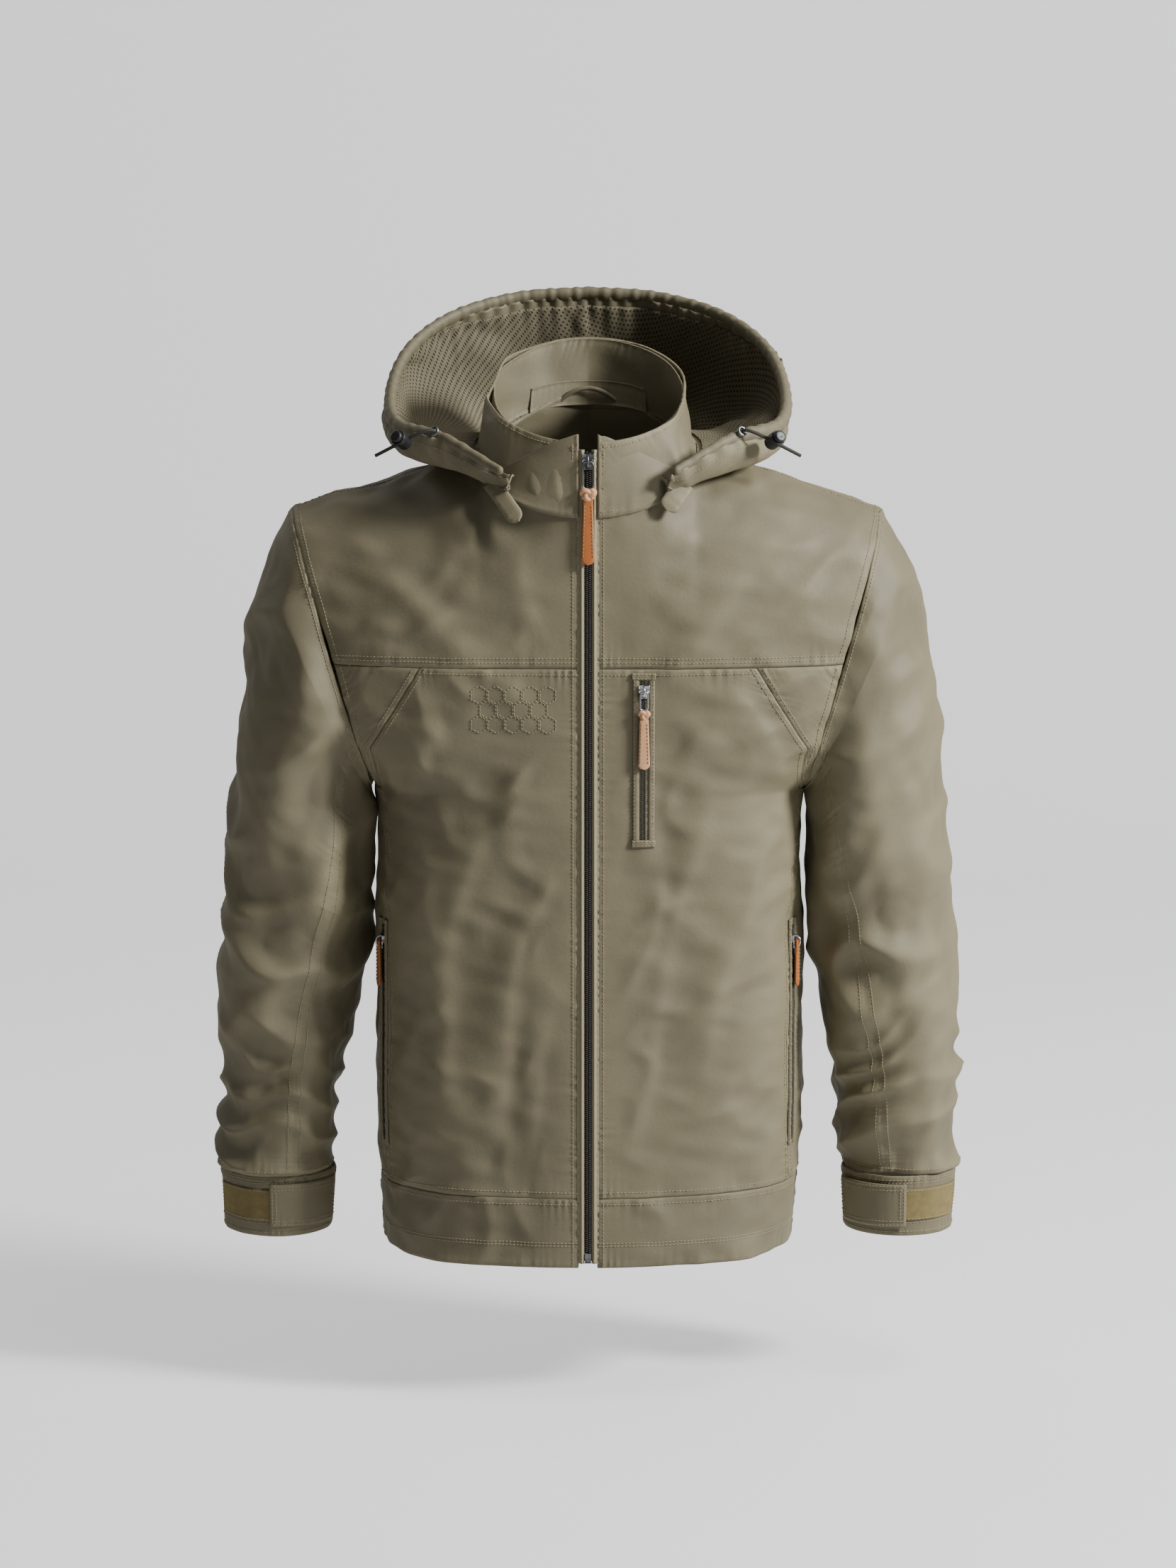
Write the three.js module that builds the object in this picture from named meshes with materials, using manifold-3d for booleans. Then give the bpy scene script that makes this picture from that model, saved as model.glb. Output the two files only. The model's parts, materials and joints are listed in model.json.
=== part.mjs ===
// Hooded beekeeping jacket: an olive cloth shell over a mesh lining, shown zipped up and hanging.
// Millimetres, +Z up, front towards -Y. The origin is the hanger loop at the inside of the back neck.
import * as THREE from "three";
import { mergeVertices } from "three/addons/utils/BufferGeometryUtils.js";
import Module from "manifold-3d";

const wasm = await Module();
wasm.setup();

// ---------- driving dimensions ----------
const GAP = 0.3; // clearance between pieces that touch
const SHELL = 1.4; // outer cloth with its seam allowances
const LINING = 0.8; // mesh lining
const BAG = 0.8; // flattened pocket bag
const HEM_BAND = 60; // height of the band at the hem
const CHEST_SEAM = 515; // height of the seam under the yokes
const ARMPIT_Z = 405; // lowest point of the armhole
const ARMPIT_X = 185;
const SHOULDER_TIP_X = 253; // highest point of the armhole
const SHOULDER_TIP_Z = 640;
const SHOULDER_SLOPE = 0.32; // rise of the shoulder per millimetre towards the neck
const NECK_X = 92; // half width of the neck hole
const NECK_FRONT_Z = 642; // front of the neck seam
const NECK_BACK_Z = 718; // back of the neck seam
const NECK_RISE = 60; // how far the shoulder line would rise above its slope at the neck's centre
const HEM_FRONT_DEPTH = 124; // front of the hem ahead of the jacket's middle plane
const COLLAR_TOP_FRONT = 706; // front of the collar's rim
const COLLAR_TOP_FRONT_DEPTH = 98;
const COLLAR_TOP_BACK = 780; // back of the collar's rim
const COLLAR_TOP_X = 84; // half width of the collar's rim
const COLLAR_BACK_DEPTH = 78; // back of the collar's rim behind the middle plane
const ROUNDNESS = 2.6; // exponent of the torso's superellipse
const CHEST_ROOM = 60; // how far the chest is wider than the armhole's plane

const COIL_HALF = 2.7; // width of one row of zip teeth
const COIL_PROUD = 0.8; // how far the teeth stand out from the cloth
const TAPE_EDGE = 10; // the front's edge, either side of the centre
const ZIP_FOOT = 4; // height of the zip's foot above the hem's edge
const BOX_HEIGHT = 9; // pin box at the zip's foot

const SLEEVE_WALL = 2.2;
const SLEEVE_GAP = 0.45; // room along the armhole for the sleeve to swing
const CUFF_TOP = 62;
const CUFF_FOOT = 8;
const CUFF_X = 272; // centre of the cuff
const CUFF_HALF_X = 50;
const CUFF_HALF_Y = 50;
const CUFF_TAPER = 3; // how much narrower the cuff is at its foot

const HOOD_FRONT_ANGLE = THREE.MathUtils.degToRad(42); // where the hood's seam ends, from the front
const CHANNEL_RADIUS = 6.5; // elastic channel along the hood's rim
const CHANNEL_BORE = 2.8; // radius of the hole the elastic runs in
const CHANNEL_LIFT = 1.8; // room between the hood's rim and the channel sewn to it
const ELASTIC = 3; // diameter of the elastic cord

// Depth of the back behind the middle plane, and half width of the waist, at heights above the hem.
const BACK_DEPTHS = [[0, 112], [60, 113], [150, 110], [300, 108], [405, 113], [515, 119],
  [600, 110], [640, 100], [690, 86], [718, 76], [780, 72]];
const SIDE_WIDTHS = [[0, 177], [60, 181], [150, 183], [300, 182], [405, 185]];
// Distance of the front seam of the side panel from the centre, at heights above the hem.
const SIDE_SEAM = [[60, 173], [200, 171], [300, 172], [400, 179], [443, 186], [515, 142]];

// Sleeve: along its length, the outer edge, the inner edge and the half depth of each section.
const SLEEVE_OUTER_X = [[0, 253], [0.08, 277], [0.18, 291], [0.3, 300],
  [0.45, 308], [0.6, 314], [0.8, 321], [1, 322]];
const SLEEVE_OUTER_Z = [[0, 640], [0.08, 596], [0.18, 535], [0.3, 462],
  [0.45, 372], [0.6, 282], [0.8, 162], [1, 62]];
const SLEEVE_INNER_X = [[0, 185], [0.08, 186.5], [0.18, 187], [0.3, 188],
  [0.45, 190], [0.6, 197], [0.8, 214], [1, 222]];
const SLEEVE_INNER_Z = [[0, 405], [0.08, 396], [0.18, 380], [0.3, 345],
  [0.45, 290], [0.6, 230], [0.8, 142], [1, 62]];
const SLEEVE_DEPTH = [[0, 82], [0.08, 84], [0.18, 81], [0.3, 74], [0.45, 66], [0.6, 62], [0.8, 57], [1, 50]];
const CAP_SHARE = 0.08; // share of the sleeve over which its section turns from armhole to ellipse

// Hood laid back: its rim from the middle of the back round to the front end.
const RIM_X = [[0, 0], [0.15, 62], [0.3, 118], [0.45, 156],
  [0.6, 172], [0.75, 165], [0.88, 122], [1, 70]];
const RIM_Y = [[0, 175], [0.15, 168], [0.3, 138], [0.45, 92],
  [0.6, 38], [0.75, -22], [0.88, -70], [1, -103]];
const RIM_Z = [[0, 806], [0.15, 802], [0.3, 788], [0.45, 764],
  [0.6, 734], [0.75, 708], [0.88, 700], [1, 674]];

const material = (color, roughness, metalness) =>
  new THREE.MeshStandardMaterial({ color, roughness, metalness });
const cloth = material(0x8a836c, 0.75, 0);
const clothDark = material(0x7d765f, 0.8, 0);
const mesh = material(0x6f6a58, 0.9, 0);
const tape = material(0xa29a80, 0.8, 0);
const teeth = material(0x2d2b26, 0.45, 0);
const gunmetal = material(0x5a5c60, 0.35, 0.9);
const silver = material(0xb4b6b8, 0.3, 0.95);
const leather = material(0xc4713a, 0.6, 0);
const leatherPale = material(0xe0aa78, 0.65, 0);
const plastic = material(0x1c1c1e, 0.5, 0);
const cordBlack = material(0x26241f, 0.85, 0);
const loopPile = material(0x807342, 0.95, 0);

// ---------- small helpers ----------
const lerp = THREE.MathUtils.lerp;
const clamp01 = (value) => Math.min(1, Math.max(0, value));
const vec = (x, y, z) => new THREE.Vector3(x, y, z);
const steps = (count, from = 0, to = 1) =>
  Array.from({ length: count + 1 }, (_, i) => lerp(from, to, i / count));

// A smooth value through [place, value] knots: cubic pieces whose slopes average their neighbours'.
function through(knots, place) {
  const last = knots.length - 1;
  const at = Math.min(knots[last][0], Math.max(knots[0][0], place));
  let i = 0;
  while (i < last - 1 && at > knots[i + 1][0]) i++;
  const slope = (a, b) => (knots[b][1] - knots[a][1]) / (knots[b][0] - knots[a][0]);
  const before = slope(Math.max(i - 1, 0), i === 0 ? 1 : i + 1);
  const after = slope(i, Math.min(i + 2, last));
  const width = knots[i + 1][0] - knots[i][0];
  const t = (at - knots[i][0]) / width;
  const a = 2 * t ** 3 - 3 * t ** 2 + 1;
  const b = t ** 3 - 2 * t ** 2 + t;
  const c = t ** 3 - t ** 2;
  return a * knots[i][1] + b * width * before + (1 - a) * knots[i + 1][1] + c * width * after;
}

// The power of a number that keeps its sign.
const power = (value, exponent) => Math.sign(value) * Math.abs(value) ** exponent;

// A closed indexed geometry, turned the right way out.
function closed(points, faces) {
  let volume = 0;
  for (const [a, b, c] of faces)
    volume += points[a].dot(points[b].clone().cross(points[c]));
  const index = faces.flatMap(([a, b, c]) => (volume < 0 ? [a, c, b] : [a, b, c]));
  const geometry = new THREE.BufferGeometry().setFromPoints(points);
  geometry.setIndex(index);
  geometry.computeVertexNormals();
  return geometry;
}

// A sheet of cloth between two depths under a surface. Each patch is a grid of `us` by `vs`, and its
// `at` gives a point and the outward normal there. Patches that share an edge are joined along it.
function sheet(patches, outer, inner) {
  const places = new Map();
  const points = [];
  const normals = [];
  const corner = ([point, normal]) => {
    const key = point.toArray().map((value) => Math.round(value * 100) + 0).join();
    if (!places.has(key)) {
      places.set(key, points.length);
      points.push(point);
      normals.push(normal.clone());
      return points.length - 1;
    }
    const found = places.get(key);
    normals[found].add(normal);
    return found;
  };
  // How far a triangle faces the way of its corners' normals.
  const facing = ([a, b, c]) => {
    const flat = points[b].clone().sub(points[a]).cross(points[c].clone().sub(points[a]));
    return flat.dot(normals[a].clone().add(normals[b]).add(normals[c]));
  };
  const faces = [];
  for (const { us, vs, at } of patches) {
    const grid = vs.map((v) => us.map((u) => corner(at(u, v))));
    const own = [];
    for (let j = 0; j + 1 < vs.length; j++)
      for (let i = 0; i + 1 < us.length; i++) {
        const [a, b, c, d] = [grid[j][i], grid[j][i + 1], grid[j + 1][i + 1], grid[j + 1][i]];
        if (a !== b && b !== c && a !== c) own.push([a, b, c]);
        if (a !== c && c !== d && a !== d) own.push([a, c, d]);
      }
    const outwards = own.reduce((sum, face) => sum + facing(face), 0) > 0;
    faces.push(...own.map(([a, b, c]) => (outwards ? [a, b, c] : [a, c, b])));
  }
  const count = points.length;
  const move = (depth) =>
    points.map((point, i) => point.clone().addScaledVector(normals[i].clone().normalize(), -depth));
  const edges = new Set(faces.flatMap(([a, b, c]) => [`${a},${b}`, `${b},${c}`, `${c},${a}`]));
  const walls = [];
  for (const edge of edges) {
    const [a, b] = edge.split(",").map(Number);
    if (!edges.has(`${b},${a}`)) walls.push([b, a, a + count], [b, a + count, b + count]);
  }
  const under = faces.map(([a, b, c]) => [a + count, c + count, b + count]);
  return closed([...move(outer), ...move(inner)], [...faces, ...under, ...walls]);
}

// The normal of a surface by small steps in its two parameters, turned towards `out`.
function normalOf(surface, u, v, du, dv, out) {
  const across = surface(u + du, v).sub(surface(u - du, v));
  const along = surface(u, v + dv).sub(surface(u, v - dv));
  const normal = across.cross(along).normalize();
  return normal.dot(out) < 0 ? normal.negate() : normal;
}

// manifold-3d joins and cuts closed three.js geometries.
function solid(geometry) {
  const bare = geometry.clone();
  bare.deleteAttribute("normal");
  bare.deleteAttribute("uv");
  const merged = mergeVertices(bare, 1e-4);
  return new wasm.Manifold(new wasm.Mesh({
    numProp: 3,
    vertProperties: new Float32Array(merged.attributes.position.array),
    triVerts: new Uint32Array(merged.index.array),
  }));
}
function geometryOf(made) {
  const result = made.getMesh();
  const geometry = new THREE.BufferGeometry();
  geometry.setAttribute("position", new THREE.BufferAttribute(result.vertProperties, 3));
  geometry.setIndex(new THREE.BufferAttribute(result.triVerts, 1));
  geometry.computeVertexNormals();
  return geometry;
}
const join = (first, ...rest) =>
  geometryOf(rest.reduce((made, next) => made.add(solid(next)), solid(first)));
const cut = (first, ...rest) =>
  geometryOf(rest.reduce((made, next) => made.subtract(solid(next)), solid(first)));

// Simple shapes, each placed by the middle of its body.
const block = (wide, deep, high, x = 0, y = 0, z = 0) =>
  new THREE.BoxGeometry(wide, deep, high).translate(x, y, z);
function plate(shape, thickness) {
  // The shape is drawn across X and up Z, and is centred on Y = 0.
  const options = { depth: thickness, bevelEnabled: false, curveSegments: 6 };
  const geometry = new THREE.ExtrudeGeometry(shape, options);
  return geometry.rotateX(Math.PI / 2).translate(0, thickness / 2, 0);
}
function tube(points, radius, bore = 0) {
  const section = new THREE.Shape().absarc(0, 0, radius, 0, 2 * Math.PI, false);
  if (bore) section.holes.push(new THREE.Path().absarc(0, 0, bore, 0, 2 * Math.PI, true));
  const path = new THREE.CatmullRomCurve3(points);
  return new THREE.ExtrudeGeometry(section, {
    steps: points.length * 2,
    curveSegments: 4,
    extrudePath: path,
    bevelEnabled: false,
  });
}

const jacket = new THREE.Group();
function add(name, geometry, finish, parent = jacket) {
  const piece = new THREE.Mesh(geometry, finish);
  piece.name = name;
  parent.add(piece);
  return piece;
}
const SIDES = [["left", -1], ["right", 1]];

// ---------- the torso's surface ----------
const FRONT_LEAN = (HEM_FRONT_DEPTH - COLLAR_TOP_FRONT_DEPTH) / COLLAR_TOP_FRONT;
const armholeX = (z) =>
  lerp(ARMPIT_X, SHOULDER_TIP_X, (z - ARMPIT_Z) / (SHOULDER_TIP_Z - ARMPIT_Z));
const shoulderZ = (x) =>
  SHOULDER_TIP_Z + (SHOULDER_TIP_X - Math.abs(x)) * SHOULDER_SLOPE
  + NECK_RISE * Math.max(0, 1 - (x / NECK_X) ** 2);
const depthOf = (side, z) => (side < 0 ? HEM_FRONT_DEPTH - FRONT_LEAN * z : through(BACK_DEPTHS, z));

function halfWidth(z) {
  if (z <= ARMPIT_Z) return through(SIDE_WIDTHS, z);
  const grown = clamp01((z - ARMPIT_Z) / (CHEST_SEAM - ARMPIT_Z));
  return armholeX(z) + CHEST_ROOM * (1 - (1 - grown) ** 2);
}

// Below the chest seam: `turn` runs from 0 at the side to a right angle at the centre line.
const lowerPoint = (side, turn, z) => vec(
  halfWidth(z) * power(Math.cos(turn), 2 / ROUNDNESS),
  side * depthOf(side, z) * power(Math.sin(turn), 2 / ROUNDNESS),
  z,
);
const turnAt = (x, z) => Math.acos(Math.min(1, (Math.abs(x) / halfWidth(z)) ** (ROUNDNESS / 2)));
function lower(side, turn, z) {
  const point = lowerPoint(side, turn, z);
  const surface = (a, b) => lowerPoint(side, a, b);
  return [point, normalOf(surface, turn, z, 0.01, 1, vec(point.x, point.y, 0))];
}

// Above the chest seam: `rise` runs from 0 at the seam to a right angle along the shoulder.
function upperPoint(side, x, rise) {
  const z = CHEST_SEAM + (shoulderZ(x) - CHEST_SEAM) * Math.sin(rise);
  const centre = Math.sqrt(Math.max(1e-6, 1 - ((z - CHEST_SEAM) / (shoulderZ(0) - CHEST_SEAM)) ** 2));
  const roundness = (1 - Math.min(1, Math.abs(x) / halfWidth(z)) ** ROUNDNESS) ** (1 / ROUNDNESS);
  return vec(x, (side * depthOf(side, z) * roundness * Math.cos(rise)) / centre, z);
}
function upper(side, x, rise) {
  const point = upperPoint(side, x, rise);
  const surface = (a, b) => upperPoint(side, a, b);
  const normal = normalOf(surface, x, rise, 0.5, 0.01, vec(point.x, point.y, point.z - CHEST_SEAM + 1));
  point.y = side * Math.max(side * point.y, GAP / 2);
  return [point, normal];
}
const flipped = (s, at) => vec(s * at.x, at.y, at.z);
const mirrored = (s, [point, normal]) => [flipped(s, point), flipped(s, normal)];

// Height of the neck seam above x, and how far round the yoke's arc it lies.
function neckZ(side, x) {
  const share = Math.min(1, Math.abs(x) / NECK_X);
  const end = shoulderZ(NECK_X);
  return side < 0
    ? lerp(end, NECK_FRONT_Z, Math.sqrt(1 - share ** 2))
    : lerp(NECK_BACK_Z, end, share ** 3);
}
const neckRise = (side, x) => Math.abs(x) >= NECK_X
  ? Math.PI / 2
  : Math.asin(Math.min(1, (neckZ(side, x) - CHEST_SEAM) / (shoulderZ(x) - CHEST_SEAM)));

// The armhole's edge in the yoke at a share of the rise.
function armholeEdge(rise) {
  let x = armholeX(CHEST_SEAM);
  for (let i = 0; i < 12; i++) x = armholeX(CHEST_SEAM + (shoulderZ(x) - CHEST_SEAM) * Math.sin(rise));
  return x;
}

// The neck seam: `angle` runs from 0 at the front centre to a half turn at the back centre.
function neckPoint(angle) {
  const x = NECK_X * Math.sin(angle);
  const side = Math.cos(angle) > 0 ? -1 : 1;
  return upperPoint(side, x, neckRise(side, x));
}

// ---------- torso panels ----------
const yokeColumns = (from) => {
  const neckShare = (NECK_X - from) / (SHOULDER_TIP_X - from);
  return [...steps(3, 0, neckShare), ...steps(4, neckShare, 1).slice(1)];
};
const yokePatch = (s, side, from, rows = steps(6)) => ({
  us: yokeColumns(from),
  vs: rows,
  at: (u, v) => {
    const edge = armholeEdge((v * Math.PI) / 2);
    const x = lerp(from, edge, u);
    return mirrored(s, upper(side, x, lerp(GAP / CHEST_SEAM, neckRise(side, x), v)));
  },
});
const seamX = (z) => {
  const knee = SIDE_SEAM[4];
  return z > knee[0]
    ? lerp(knee[1], SIDE_SEAM[5][1], (z - knee[0]) / (SIDE_SEAM[5][0] - knee[0]))
    : through(SIDE_SEAM.slice(0, 5), z);
};
const bodyRows = [HEM_BAND + GAP, 110, 160, 210, 260, 310, 360, ARMPIT_Z,
  424, 443, 462, 480, 498, CHEST_SEAM - GAP];
const panelPatch = (s, side, from, rows, columns = 6) => ({
  us: steps(columns),
  vs: rows,
  at: (u, z) => {
    const edge = turnAt(seamX(z) - GAP / 2, z);
    return mirrored(s, lower(side, lerp(turnAt(from, z), edge, u), z));
  },
});
const sidePatch = (s, side, rows) => ({
  us: steps(4),
  vs: rows,
  at: (u, z) => {
    const start = turnAt(seamX(z) + GAP / 2, z);
    const end = z > ARMPIT_Z ? turnAt(armholeX(z), z) : 0;
    return mirrored(s, lower(side, lerp(start, end, u), z));
  },
});
const hemRows = steps(2, 0, HEM_BAND);
const hemPatch = (s, side, from, to) => ({
  us: steps(8),
  vs: hemRows,
  at: (u, z) => mirrored(s, lower(side, lerp(turnAt(from, z), to, u), z)),
});
const SIDE_TURN = 0.004; // half the gap between the hem bands, as a turn at the side

for (const [word, s] of SIDES) {
  add("front_yoke_" + word, sheet([yokePatch(s, -1, TAPE_EDGE)], 0, SHELL), cloth);
  add("front_body_" + word, sheet([panelPatch(s, -1, TAPE_EDGE, bodyRows)], 0, SHELL), cloth);
  add("side_panel_" + word,
    sheet([sidePatch(s, -1, bodyRows), sidePatch(s, 1, bodyRows)], 0, SHELL), clothDark);
  add("hem_band_" + word, sheet([hemPatch(s, -1, TAPE_EDGE, SIDE_TURN)], 0, SHELL), cloth);
}
add("back_yoke", sheet([yokePatch(-1, 1, 0), yokePatch(1, 1, 0)], 0, SHELL), cloth);
add("back_panel", sheet([panelPatch(-1, 1, 0, bodyRows), panelPatch(1, 1, 0, bodyRows)], 0, SHELL), cloth);
add("hem_band_back", sheet([hemPatch(-1, 1, 0, SIDE_TURN), hemPatch(1, 1, 0, SIDE_TURN)], 0, SHELL), cloth);

// Mesh lining: one sheet from the hem band to the yokes, open down the front, behind the pocket bags.
const LINING_EASE = 1.2; // slack between the shell and its lining
const LINING_DEPTH = SHELL + BAG + 2 * GAP + LINING_EASE;
const LINING_FRONT = 17; // the lining's front edge, either side of the centre
const LINING_IN = 3; // how far the lining's edges stop short of the seams they are sewn into
const liningEdge = (z) => armholeX(z) - LINING_IN;
const liningLower = (s, side, from) => ({
  us: steps(8),
  vs: [...steps(4, HEM_BAND + LINING_IN, ARMPIT_Z - LINING_IN), 440, 475, CHEST_SEAM - LINING_IN],
  at: (u, z) => {
    const share = clamp01((z - ARMPIT_Z) / (CHEST_SEAM - ARMPIT_Z));
    const end = z > ARMPIT_Z ? turnAt(liningEdge(z), z) : 0;
    const straight = turnAt(lerp(from, liningEdge(z), u), z);
    return mirrored(s, lower(side, lerp(lerp(turnAt(from, z), end, u), straight, share), z));
  },
});
const liningPatches = SIDES.flatMap(([, s]) => [
  liningLower(s, -1, LINING_FRONT), liningLower(s, 1, 0),
]);
add("body_lining", sheet(liningPatches, LINING_DEPTH, LINING_DEPTH + LINING), mesh);

// ---------- collar ----------
const RIM_MID_Y = (COLLAR_BACK_DEPTH - COLLAR_TOP_FRONT_DEPTH) / 2;
const RIM_HALF_Y = (COLLAR_BACK_DEPTH + COLLAR_TOP_FRONT_DEPTH) / 2;
const RIM_MID_Z = (COLLAR_TOP_FRONT + COLLAR_TOP_BACK) / 2;
const RIM_HALF_Z = (COLLAR_TOP_BACK - COLLAR_TOP_FRONT) / 2;
function collarPoint(angle, up) {
  const low = neckPoint(angle);
  const high = vec(
    COLLAR_TOP_X * Math.sin(angle),
    RIM_MID_Y - RIM_HALF_Y * Math.cos(angle),
    RIM_MID_Z - RIM_HALF_Z * Math.cos(angle),
  );
  return low.lerp(high, up);
}
const collarPatch = (s, fromX, low, high) => ({
  us: steps(16),
  vs: steps(3, low, high),
  at: (u, v) => {
    const start = Math.asin(fromX / lerp(NECK_X, COLLAR_TOP_X, v));
    const angle = lerp(start, Math.PI, u);
    const point = collarPoint(angle, v);
    const out = vec(point.x, point.y - RIM_MID_Y, 0);
    return mirrored(s, [point, normalOf(collarPoint, angle, v, 0.01, 0.01, out)]);
  },
});
const FACING_DEPTH = SHELL + GAP + 0.5; // how far the collar's facing lies inside its outer face
const COLLAR_FOOT = 0.03; // share of the collar's height that the neck seam takes
const bothSides = (fromX, low, high) => SIDES.map(([, s]) => collarPatch(s, fromX, low, high));
add("collar_shell", sheet(bothSides(TAPE_EDGE, COLLAR_FOOT, 1), 0, SHELL), cloth);
add("collar_facing",
  sheet(bothSides(LINING_FRONT, 2 * COLLAR_FOOT, 1 - COLLAR_FOOT),
    FACING_DEPTH, FACING_DEPTH + SHELL), clothDark);

// ---------- main zip, in a frame that leans with the front's centre line ----------
const LEAN = Math.atan(FRONT_LEAN);
const frontLine = new THREE.Group();
frontLine.position.set(0, -HEM_FRONT_DEPTH, 0);
frontLine.rotation.x = -LEAN;
jacket.add(frontLine);
const ZIP_LENGTH = COLLAR_TOP_FRONT / Math.cos(LEAN) - 6; // ends just under the collar's rim
const TAPE = 1.8; // thickness of the zip tape
const FLAP = 1.2; // thickness of the storm flap
const coilFoot = ZIP_FOOT + BOX_HEIGHT + GAP;
const coilLength = ZIP_LENGTH - coilFoot;
const tapeX0 = COIL_HALF + 2 * GAP;
const tapeWide = TAPE_EDGE - GAP - tapeX0;
for (const [word, s] of SIDES) {
  add("zip_tape_" + word, block(tapeWide, TAPE, ZIP_LENGTH - ZIP_FOOT,
    s * (tapeX0 + tapeWide / 2), TAPE / 2, (ZIP_LENGTH + ZIP_FOOT) / 2), tape, frontLine);
  add("zip_coil_" + word, block(COIL_HALF, COIL_PROUD + TAPE, coilLength,
    s * (GAP / 2 + COIL_HALF / 2), (TAPE - COIL_PROUD) / 2, coilFoot + coilLength / 2), teeth, frontLine);
}
add("zip_box", block(2 * COIL_HALF, 2.4, BOX_HEIGHT, 0, 0.1, ZIP_FOOT + BOX_HEIGHT / 2), gunmetal, frontLine);
const FLAP_EASE = 0.75; // room between the fronts and the flap behind them
const flapY = SHELL + GAP + FLAP_EASE + FLAP / 2;
const FLAP_WIDE = 2 * TAPE_EDGE + 3;
const FLAP_LONG = ZIP_LENGTH - 12;
add("storm_flap", block(FLAP_WIDE, FLAP, FLAP_LONG, 0, flapY, ZIP_LENGTH / 2 + 2), cloth, frontLine);

// A zip slider that straddles the teeth in front of the cloth, with a lug for its puller.
// Its frame has the cloth at Y = 0 and the slider's lower end at Z = 0; `foot` is how high its cheeks stand.
function slider(wide, high, foot, proud) {
  const plateDeep = 1.6;
  const front = -(proud + GAP + plateDeep);
  const cheek = 1.6;
  const body = new THREE.Shape();
  const low = -(foot + GAP);
  body.moveTo(-wide / 2, low);
  body.lineTo(-wide / 2, front + 0.6);
  body.lineTo(-wide / 2 + 1, front);
  body.lineTo(wide / 2 - 1, front);
  body.lineTo(wide / 2, front + 0.6);
  body.lineTo(wide / 2, low);
  body.lineTo(wide / 2 - cheek, low);
  body.lineTo(wide / 2 - cheek, front + plateDeep);
  body.lineTo(-wide / 2 + cheek, front + plateDeep);
  body.lineTo(-wide / 2 + cheek, low);
  const shell = new THREE.ExtrudeGeometry(body, { depth: high, bevelEnabled: false });
  const lug = [block(2.6, 1, high * 0.7, 0, front - 3.5, high / 2)];
  lug.push(block(2.6, 4.2, 1.4, 0, front - 1.9, high * 0.15 + 0.7));
  lug.push(block(2.6, 4.2, 1.4, 0, front - 1.9, high * 0.85 - 0.7));
  return { geometry: join(shell, ...lug), pinY: front - 1.5, pinZ: high / 2 };
}
// A wire loop in front of the cloth, hanging from a bar through the slider's lug at its origin.
function puller(wide, high, wire) {
  const outline = new THREE.Shape();
  outline.moveTo(-wide / 2, wire / 2 - high);
  outline.lineTo(wide / 2, wire / 2 - high);
  outline.lineTo(wide / 2, wire / 2);
  outline.lineTo(-wide / 2, wire / 2);
  const hole = new THREE.Path();
  hole.moveTo(-wide / 2 + wire, -wire / 2);
  hole.lineTo(wide / 2 - wire, -wire / 2);
  hole.lineTo(wide / 2 - wire, wire * 1.5 - high);
  hole.lineTo(-wide / 2 + wire, wire * 1.5 - high);
  outline.holes.push(hole);
  return plate(outline, wire);
}
// A leather strap with a round end, hanging from its origin, with a slot for a lug if it needs one.
function strap(wideTop, wideFoot, long, thick, slot = 0) {
  const outline = new THREE.Shape();
  outline.moveTo(-wideTop / 2, 0);
  outline.lineTo(-wideFoot / 2, wideFoot / 2 - long);
  outline.absarc(0, wideFoot / 2 - long, wideFoot / 2, Math.PI, 2 * Math.PI, false);
  outline.lineTo(wideTop / 2, 0);
  if (slot) {
    const hole = new THREE.Path();
    hole.moveTo(-slot / 2, -STRAP_BAR);
    hole.lineTo(slot / 2, -STRAP_BAR);
    hole.lineTo(slot / 2, -STRAP_BAR - 7);
    hole.lineTo(-slot / 2, -STRAP_BAR - 7);
    outline.holes.push(hole);
  }
  return plate(outline, thick);
}
// A knotted loop of leather round the puller's lower bar: a ring with a swollen front.
function knot(wide, high, deep, wire) {
  const ring = new THREE.CapsuleGeometry(deep / 2, wide - deep, 3, 8).rotateZ(Math.PI / 2);
  const flat = ring.scale(1, 1, high / deep).translate(0, 0, -high * 0.42);
  const room = wire + 3 * GAP;
  return cut(flat, block(wide + 2, room, room));
}

// One slider with everything that hangs from it, in nested frames for its joints.
function zipPull(name, parent, place, size) {
  const sliderFrame = new THREE.Group();
  sliderFrame.applyMatrix4(place);
  sliderFrame.name = name + "_slider_frame";
  parent.add(sliderFrame);
  const made = slider(size.wide, size.high, size.foot, size.proud);
  add(name + "_slider", made.geometry, size.metal, sliderFrame);
  const pullFrame = new THREE.Group();
  pullFrame.name = name + "_pull_frame";
  pullFrame.position.set(0, made.pinY, made.pinZ);
  sliderFrame.add(pullFrame);
  return pullFrame;
}

const MAIN_SLIDER_HIGH = 14;
const mainSliderFoot = ZIP_LENGTH - MAIN_SLIDER_HIGH - 3;
const WIRE = 1.6; // thickness of a puller's wire
const STRAP_BAR = 1.6; // leather left above a strap's slot
const mainPull = zipPull("main", frontLine, new THREE.Matrix4().makeTranslation(0, 0, mainSliderFoot),
  { wide: 11, high: MAIN_SLIDER_HIGH, foot: 0, proud: COIL_PROUD, metal: gunmetal });
const LOOP_HIGH = 24;
add("main_puller", puller(11, LOOP_HIGH, WIRE), gunmetal, mainPull);
const mainStrapFrame = new THREE.Group();
mainStrapFrame.name = "main_strap_frame";
mainStrapFrame.position.set(0, 0, WIRE - LOOP_HIGH);
mainPull.add(mainStrapFrame);

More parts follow.
